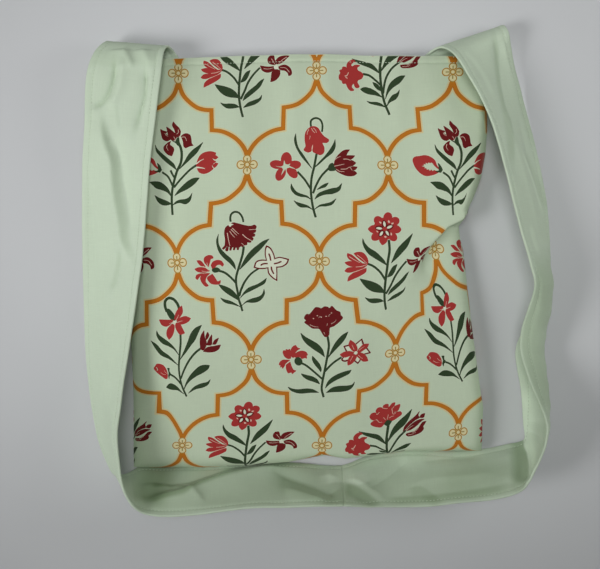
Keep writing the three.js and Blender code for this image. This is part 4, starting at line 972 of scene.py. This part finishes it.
def strap_half(name, lo, hi, material):
    """One sewn length of strap: doubled cloth with turned edges, topstitched along both."""
    fine = np.linspace(lo, hi, int((hi - lo) * 20) + 1)
    far = np.concatenate([[0], np.cumsum(np.linalg.norm(np.diff(strap_mid(fine, np.array([0.5]))[:, 0], axis=0), axis=1))])
    s = np.interp(np.linspace(0, far[-1], int(far[-1] / STRAP_ROW) + 1), far, fine)
    near = np.concatenate([COLUMNS, 68 - COLUMNS[:-1][::-1]]) / 68.0
    mid = strap_mid(s, near)
    run = np.concatenate([[0], np.cumsum(np.linalg.norm(np.diff(mid.mean(1), axis=0), axis=1))])
    wide = np.linalg.norm(np.diff(mid, axis=1), axis=2).sum(1)
    inset = np.minimum(near, 1 - near)[None] * wide[:, None]
    du, dv = np.gradient(mid, axis=0), np.gradient(mid, axis=1)
    n = np.cross(du, dv)
    n /= np.maximum(np.linalg.norm(n, axis=2), 1e-9)[..., None]
    # shade here is painted shade of the folds, not light from the lamps; negative values are painted light
    lift, shade = fold_height(mid, s), painted_fold_shade(mid, s)
    # slight waviness along the stitched edges and over the cloth
    along = run[:, None] + np.zeros_like(inset)
    lift += 0.30 * np.exp(-inset / 9.0) * np.sin(along / 6.3 + 1.7 * np.sin(along / 37.0)) * np.where(near < 0.5, 1, -0.8)
    lift += 0.35 * np.sin(along / 29.0 + near * 5.0) + 0.20 * np.sin(along / 11.0 - near * 9.0 + np.sin(along / 40.0))
    hold = np.minimum(smooth(0, 14, run - run[0]), smooth(0, 14, run[-1] - run))[:, None]
    side = 1.0 if hi == STRAP_SEAM else 0.0
    # the folds are toward the face seen from above
    up = (2 * smooth(-0.2, 0.2, n[..., 2].mean(1)) - 1)[:, None]
    lift = lift * (0.35 + 0.65 * smooth(0, 11, inset))
    mid = mid + n * (lift * hold * up)[..., None]
    du, dv = np.gradient(mid, axis=0), np.gradient(mid, axis=1)
    n = np.cross(du, dv)
    n /= np.maximum(np.linalg.norm(n, axis=2), 1e-9)[..., None]
    t = np.clip(inset / STRAP_EDGE, 0, 1)
    half = STRAP_THICK / 2 * np.sqrt(np.clip(1 - (1 - t) ** 2, 0, 1))
    stitch = 0.5 + 0.5 * np.cos(2 * math.pi * along / STITCH_PITCH)
    half = half * (1 - (0.30 + 0.12 * stitch) * np.exp(-(((inset - STITCH_IN) / 1.1) ** 2)))
    seam_at = run[-1] if hi == STRAP_SEAM else run[0]
    from_seam = np.abs(run - seam_at)[:, None]
    half = half * (1 - 0.2 * np.exp(-((from_seam / 0.8) ** 2))) * (1 + 0.12 * np.exp(-(((from_seam - 4) / 2.5) ** 2)))
    top, low = mid + n * half[..., None], mid - n * half[..., None]
    rows, cols = mid.shape[:2]
    top[..., 2], low[..., 2] = np.maximum(top[..., 2], 0.05), np.maximum(low[..., 2], 0.05)
    ring = np.concatenate([top, low[:, -2:0:-1]], 1)
    m = ring.shape[1]
    pts = ring.reshape(-1, 3)
    i, j = np.meshgrid(np.arange(rows - 1), np.arange(m), indexing="ij")
    k = (j + 1) % m
    quads = np.stack([i * m + j, (i + 1) * m + j, (i + 1) * m + k, i * m + k], -1).reshape(-1, 4)
    faces = quads.tolist()
    # ends: closed between the two faces
    for row, turn in ((0, 1), (rows - 1, -1)):
        base = row * m
        loop = [(base + c, base + c + 1, base + (m - c - 1) % m, base + (m - c) % m) for c in range(1, cols - 2)]
        caps = [(base, base + 1, base + m - 1), (base + cols - 2, base + cols - 1, base + cols)] + [(a, b, c, d) for a, b, c, d in loop]
        faces += [f if turn > 0 else f[::-1] for f in caps]
    ob = to_object(name, pts, faces, material)
    flat_w = near * 68.0
    uv_top = np.stack([np.repeat(run[:, None], cols, 1), np.repeat(flat_w[None], rows, 0)], -1)
    uv_low = uv_top[:, -2:0:-1] + (0, 0)
    uv = np.concatenate([uv_top, np.stack([uv_low[..., 0], 136 - uv_low[..., 1]], -1)], 1).reshape(-1, 2) / 1000.0
    corner_uv(ob.data, "Flat", uv)
    # painted shade of the folds goes on the face seen from above; where it darkens it is also a little more saturated,
    # as cloth in shade looks, and where negative it is painted light
    facing = smooth(-0.12, 0.12, n[..., 2])
    keep = np.concatenate([1 - shade * facing, (1 - shade * (1 - facing))[:, -2:0:-1]], 1).reshape(-1, 1)
    tone = np.concatenate([np.where(keep < 1, keep ** (1.2, 1.0, 1.4), keep * (1.0, 1.0, 0.99)), np.ones_like(keep)], 1)
    ob.data.attributes.new("PaintedShade", "FLOAT_COLOR", "POINT").data.foreach_set("color", tone.astype(np.float32).ravel())
    lines = []
    for face, sign in ((top, 1), (low, -1)):
        for inset_at in (STITCH_IN / 68.0, 1 - STITCH_IN / 68.0):
            c = int(np.argmin(np.abs(near - inset_at)))
            lines.append((face[:, c], n[:, c] * sign))
    return ob, lines, float(run[-1]), dict(mid=mid, top=top, low=low, n=n, run=run, s=s)


# ---------------------------------------------------------------- stitches
def stitches(name, lines, material, pitch=STITCH_PITCH, long=STITCH_LONG, thick=0.34, rise=0.16, sides=5):
    """Lock stitches along lines of (points, normals): short threads dipping in at both ends."""
    pts, faces = [], []
    ts, depth = np.array([0.0, 0.2, 0.5, 0.8, 1.0]), np.array([-0.42, 0.06, 1.0, 0.06, -0.42])
    size = np.array([0.55, 1.0, 1.0, 1.0, 0.55])
    ang = 2 * math.pi * np.arange(sides) / sides
    for p, n in lines:
        run = np.concatenate([[0], np.cumsum(np.linalg.norm(np.diff(p, axis=0), axis=1))])
        count = int((run[-1] - 4) / pitch)
        if count < 1:
            continue
        at = 2 + pitch * np.arange(count)
        where = at[:, None] + ts * long
        q = np.stack([np.interp(where, run, p[:, k]) for k in range(3)], -1)
        m = np.stack([np.interp(where, run, n[:, k]) for k in range(3)], -1)
        m /= np.linalg.norm(m, axis=2)[..., None]
        d = q[:, -1] - q[:, 0]
        d /= np.maximum(np.linalg.norm(d, axis=1), 1e-9)[:, None]
        side = np.cross(d[:, None], m)
        side /= np.maximum(np.linalg.norm(side, axis=2), 1e-9)[..., None]
        q = q + m * (np.where(depth > 0, depth * rise, depth))[None, :, None]
        ring = q[:, :, None] + (side[:, :, None] * np.cos(ang)[None, None, :, None] + m[:, :, None] * np.sin(ang)[None, None, :, None]) * (thick * size)[None, :, None, None]
        base = sum(len(x) for x in pts)
        pts.append(ring.reshape(-1, 3))
        one = []
        for r in range(len(ts) - 1):
            for a in range(sides):
                b = (a + 1) % sides
                one.append((r * sides + a, r * sides + b, (r + 1) * sides + b, (r + 1) * sides + a))
        one.append(tuple(range(sides))[::-1])
        one.append(tuple((len(ts) - 1) * sides + a for a in range(sides)))
        per = len(ts) * sides
        for c in range(count):
            faces += [tuple(base + c * per + x for x in f) for f in one]
    return to_object(name, np.vstack(pts), faces, material)


# ---------------------------------------------------------------- materials
def new_material(name):
    m = bpy.data.materials.new(name)
    m.use_nodes = True
    nt = m.node_tree
    nt.nodes.clear()
    out = nt.nodes.new("ShaderNodeOutputMaterial")
    bsdf = nt.nodes.new("ShaderNodeBsdfPrincipled")
    nt.links.new(bsdf.outputs["BSDF"], out.inputs["Surface"])
    return m, nt, bsdf


def math_node(nt, op, a, b=None):
    n = nt.nodes.new("ShaderNodeMath")
    n.operation = op
    for i, x in enumerate((a, b)):
        if x is None:
            continue
        if isinstance(x, (int, float)):
            n.inputs[i].default_value = x
        else:
            nt.links.new(x, n.inputs[i])
    return n.outputs[0]


def cotton(name, colour=None, pitch=0.00058, bump=0.35, slub=0.10):
    """Plain-woven cotton: fine over-and-under threads, slubs, and slight unevenness of its colour; with a colour given,
    that colour also carries the strap's painted fold shade.
    """
    m, nt, bsdf = new_material(name)
    uv = nt.nodes.new("ShaderNodeUVMap")
    uv.uv_map = "Flat"
    sep = nt.nodes.new("ShaderNodeSeparateXYZ")
    nt.links.new(uv.outputs[0], sep.inputs[0])
    k = 2 * math.pi / pitch / 2
    su = math_node(nt, "SINE", math_node(nt, "MULTIPLY", sep.outputs[0], k))
    sv = math_node(nt, "SINE", math_node(nt, "MULTIPLY", sep.outputs[1], k))
    weave = math_node(nt, "MULTIPLY", su, sv)

    def noise(scale_u, scale_v, detail, rough):
        mp = nt.nodes.new("ShaderNodeMapping")
        mp.inputs["Scale"].default_value = (scale_u, scale_v, 1)
        nt.links.new(uv.outputs[0], mp.inputs[0])
        nz = nt.nodes.new("ShaderNodeTexNoise")
        nz.inputs["Scale"].default_value = 1.0
        nz.inputs["Detail"].default_value = detail
        nz.inputs["Roughness"].default_value = rough
        nt.links.new(mp.outputs[0], nz.inputs["Vector"])
        return nz.outputs["Fac"]

    warp, weft, blotch = noise(1500, 60, 2, 0.5), noise(60, 1500, 2, 0.5), noise(26, 26, 4, 0.6)
    slubs = math_node(nt, "ADD", warp, weft)
    shade = math_node(nt, "ADD", math_node(nt, "MULTIPLY", slubs, slub), math_node(nt, "MULTIPLY", blotch, 0.07))
    shade = math_node(nt, "ADD", shade, 1 - slub - 0.035)
    shade = math_node(nt, "ADD", shade, math_node(nt, "MULTIPLY", weave, 0.025))
    mix = nt.nodes.new("ShaderNodeMix")
    mix.data_type = "RGBA"
    mix.blend_type = "MULTIPLY"
    mix.inputs[0].default_value = 1.0
    if colour is None:
        at = nt.nodes.new("ShaderNodeAttribute")
        at.attribute_name = "Print"
        nt.links.new(at.outputs["Color"], mix.inputs[6])
    else:
        # the strap's colour is multiplied by its per-point painted shade of the folds, paler where painted light
        at = nt.nodes.new("ShaderNodeAttribute")
        at.attribute_name = "PaintedShade"
        dye_and_shade = nt.nodes.new("ShaderNodeMix")
        dye_and_shade.data_type = "RGBA"
        dye_and_shade.blend_type = "MULTIPLY"
        dye_and_shade.inputs[0].default_value = 1.0
        dye_and_shade.inputs[6].default_value = (*linear(colour), 1)
        nt.links.new(at.outputs["Color"], dye_and_shade.inputs[7])
        nt.links.new(dye_and_shade.outputs[2], mix.inputs[6])
    nt.links.new(shade, mix.inputs[7])
    nt.links.new(mix.outputs[2], bsdf.inputs["Base Color"])
    height = math_node(nt, "ADD", math_node(nt, "MULTIPLY", weave, 0.5), math_node(nt, "MULTIPLY", slubs, 0.7))
    bp = nt.nodes.new("ShaderNodeBump")
    bp.inputs["Strength"].default_value = bump
    bp.inputs["Distance"].default_value = 0.00022
    nt.links.new(height, bp.inputs["Height"])
    nt.links.new(bp.outputs["Normal"], bsdf.inputs["Normal"])
    bsdf.inputs["Roughness"].default_value = 0.86
    bsdf.inputs["Specular IOR Level"].default_value = 0.25
    bsdf.inputs["Sheen Weight"].default_value = 0.18
    bsdf.inputs["Sheen Roughness"].default_value = 0.45
    bsdf.inputs["Sheen Tint"].default_value = (*linear((236, 242, 230)), 1)
    return m


def thread_material(name, colour):
    m, nt, bsdf = new_material(name)
    co = nt.nodes.new("ShaderNodeTexCoord")
    nz = nt.nodes.new("ShaderNodeTexNoise")
    nz.inputs["Scale"].default_value = 900
    nz.inputs["Detail"].default_value = 2
    nt.links.new(co.outputs["Object"], nz.inputs["Vector"])
    ramp = nt.nodes.new("ShaderNodeValToRGB")
    c = linear(colour)
    ramp.color_ramp.elements[0].position, ramp.color_ramp.elements[1].position = 0.3, 0.75
    ramp.color_ramp.elements[0].color = (*(c * 0.82), 1)
    ramp.color_ramp.elements[1].color = (*np.minimum(c * 1.06, 1), 1)
    nt.links.new(nz.outputs["Fac"], ramp.inputs[0])
    nt.links.new(ramp.outputs[0], bsdf.inputs["Base Color"])
    bsdf.inputs["Roughness"].default_value = 0.6
    bsdf.inputs["Sheen Weight"].default_value = 0.15
    return m


def floor_material():
    m, nt, bsdf = new_material("floor_pale")
    co = nt.nodes.new("ShaderNodeTexCoord")
    nz = nt.nodes.new("ShaderNodeTexNoise")
    nz.inputs["Scale"].default_value = 5
    nz.inputs["Detail"].default_value = 3
    nt.links.new(co.outputs["Object"], nz.inputs["Vector"])
    ramp = nt.nodes.new("ShaderNodeValToRGB")
    ramp.color_ramp.elements[0].color = (*linear((203, 205, 209)), 1)
    ramp.color_ramp.elements[1].color = (*linear((210, 212, 215)), 1)
    nt.links.new(nz.outputs["Fac"], ramp.inputs[0])
    nt.links.new(ramp.outputs[0], bsdf.inputs["Base Color"])
    bsdf.inputs["Roughness"].default_value = 0.9
    return m


# ---------------------------------------------------------------- camera, floor and light
scene = bpy.context.scene
scene.view_settings.view_transform = "Standard"
scene.view_settings.look = "None"
cam_data = bpy.data.cameras.new("camera")
cam_data.sensor_width, cam_data.lens, cam_data.sensor_fit = 36.0, 72.0, "HORIZONTAL"
cam_data.clip_start, cam_data.clip_end = 0.05, 20
cam = bpy.data.objects.new("camera", cam_data)
cam.location = (SHIFT[0] / 1000, SHIFT[1] / 1000, EYE / 1000)
scene.collection.objects.link(cam)
scene.camera = cam

floor_me = bpy.data.meshes.new("floor")
floor_me.from_pydata([(-4, -4, -0.0002), (4, -4, -0.0002), (4, 4, -0.0002), (-4, 4, -0.0002)], [], [(0, 1, 2, 3)])
floor_me.materials.append(floor_material())
floor = bpy.data.objects.new("floor", floor_me)
scene.collection.objects.link(floor)

world = bpy.data.worlds.new("studio")
scene.world = world
world.use_nodes = True
world.node_tree.nodes["Background"].inputs["Color"].default_value = (0.98, 1.0, 0.95, 1)
world.node_tree.nodes["Background"].inputs["Strength"].default_value = 0.13


def soft_spot(name, place, aim, radius, cone, power, colour):
    """Large soft lamp, strongest where it is aimed."""
    d = bpy.data.lights.new(name, "SPOT")
    d.shadow_soft_size, d.spot_size, d.spot_blend, d.energy, d.color = radius, math.radians(cone), 1.0, power, colour
    ob = bpy.data.objects.new(name, d)
    ob.location = place
    ob.rotation_euler = (Vector(aim) - Vector(place)).to_track_quat("-Z", "Y").to_euler()
    scene.collection.objects.link(ob)
    return ob


def soft_panel(name, place, aim, size, power, colour):
    d = bpy.data.lights.new(name, "AREA")
    d.size, d.energy, d.color = size, power, colour
    ob = bpy.data.objects.new(name, d)
    ob.location = place
    ob.rotation_euler = (Vector(aim) - Vector(place)).to_track_quat("-Z", "Y").to_euler()
    scene.collection.objects.link(ob)
    return ob


soft_spot("key", (-1.38, -0.42, 1.20), (-0.15, 0.08, 0), 0.40, 48, 69, (1.0, 0.995, 0.98))
soft_spot("top", (-0.03, 0.20, 2.05), (-0.01, 0.23, 0), 0.34, 41, 59, (1.0, 1.0, 0.99))
soft_panel("fill", (0.85, 0.2, 0.6), (0.22, 0.06, 0.03), 0.4, 1.6, (1.0, 1.0, 0.97))

# ---------------------------------------------------------------- the bag
print_cloth = cotton("printed_cotton")
strap_cloth = cotton("strap_cotton", COLOUR["strap"], pitch=0.00066, bump=0.4, slub=0.11)
thread = thread_material("sewing_thread", COLOUR["thread"])

front, _ = panel("front_cloth", front_place, False, print_cloth, False, lambda v: np.where(v <= HEM_DEEP + 3, HEM, CLOTH))
back, _ = panel("back_cloth", back_place, True, print_cloth, True, lambda v: np.full(v.shape, CLOTH))
left, left_lines, left_long, left_grid = strap_half("strap_left_cloth", 0, STRAP_SEAM, strap_cloth)
right, right_lines, right_long, right_grid = strap_half("strap_right_cloth", STRAP_SEAM, len(STRAP) - 1, strap_cloth)
left_sewing = stitches("strap_left_stitches", left_lines, thread)
right_sewing = stitches("strap_right_stitches", right_lines, thread)


def hem_line(place, flip):
    u = np.arange(-190, 186, 1.0)
    v = HEM_STITCH + mouth_dip(u)
    n = surface_normals(place, u, v, flip)
    return np.stack(place(u, v), 1), n


front_sewing = stitches("front_hem_stitches", [hem_line(front_place, False)], thread, pitch=3.2, long=2.5, thick=0.28)
back_sewing = stitches("back_hem_stitches", [hem_line(back_place, True)], thread, pitch=3.2, long=2.5, thick=0.28)

for piece, nodes, slot in ((front, ["front_panel"], "printed_cloth"), (back, ["back_panel"], "printed_cloth"), (left, ["strap_left"], "strap_cloth"), (right, ["strap_right"], "strap_cloth"),
                           (front_sewing, [], "printed_cloth"), (back_sewing, [], "printed_cloth"), (left_sewing, [], "strap_cloth"), (right_sewing, [], "strap_cloth")):
    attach(piece, "root")
    if nodes:
        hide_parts(*nodes)
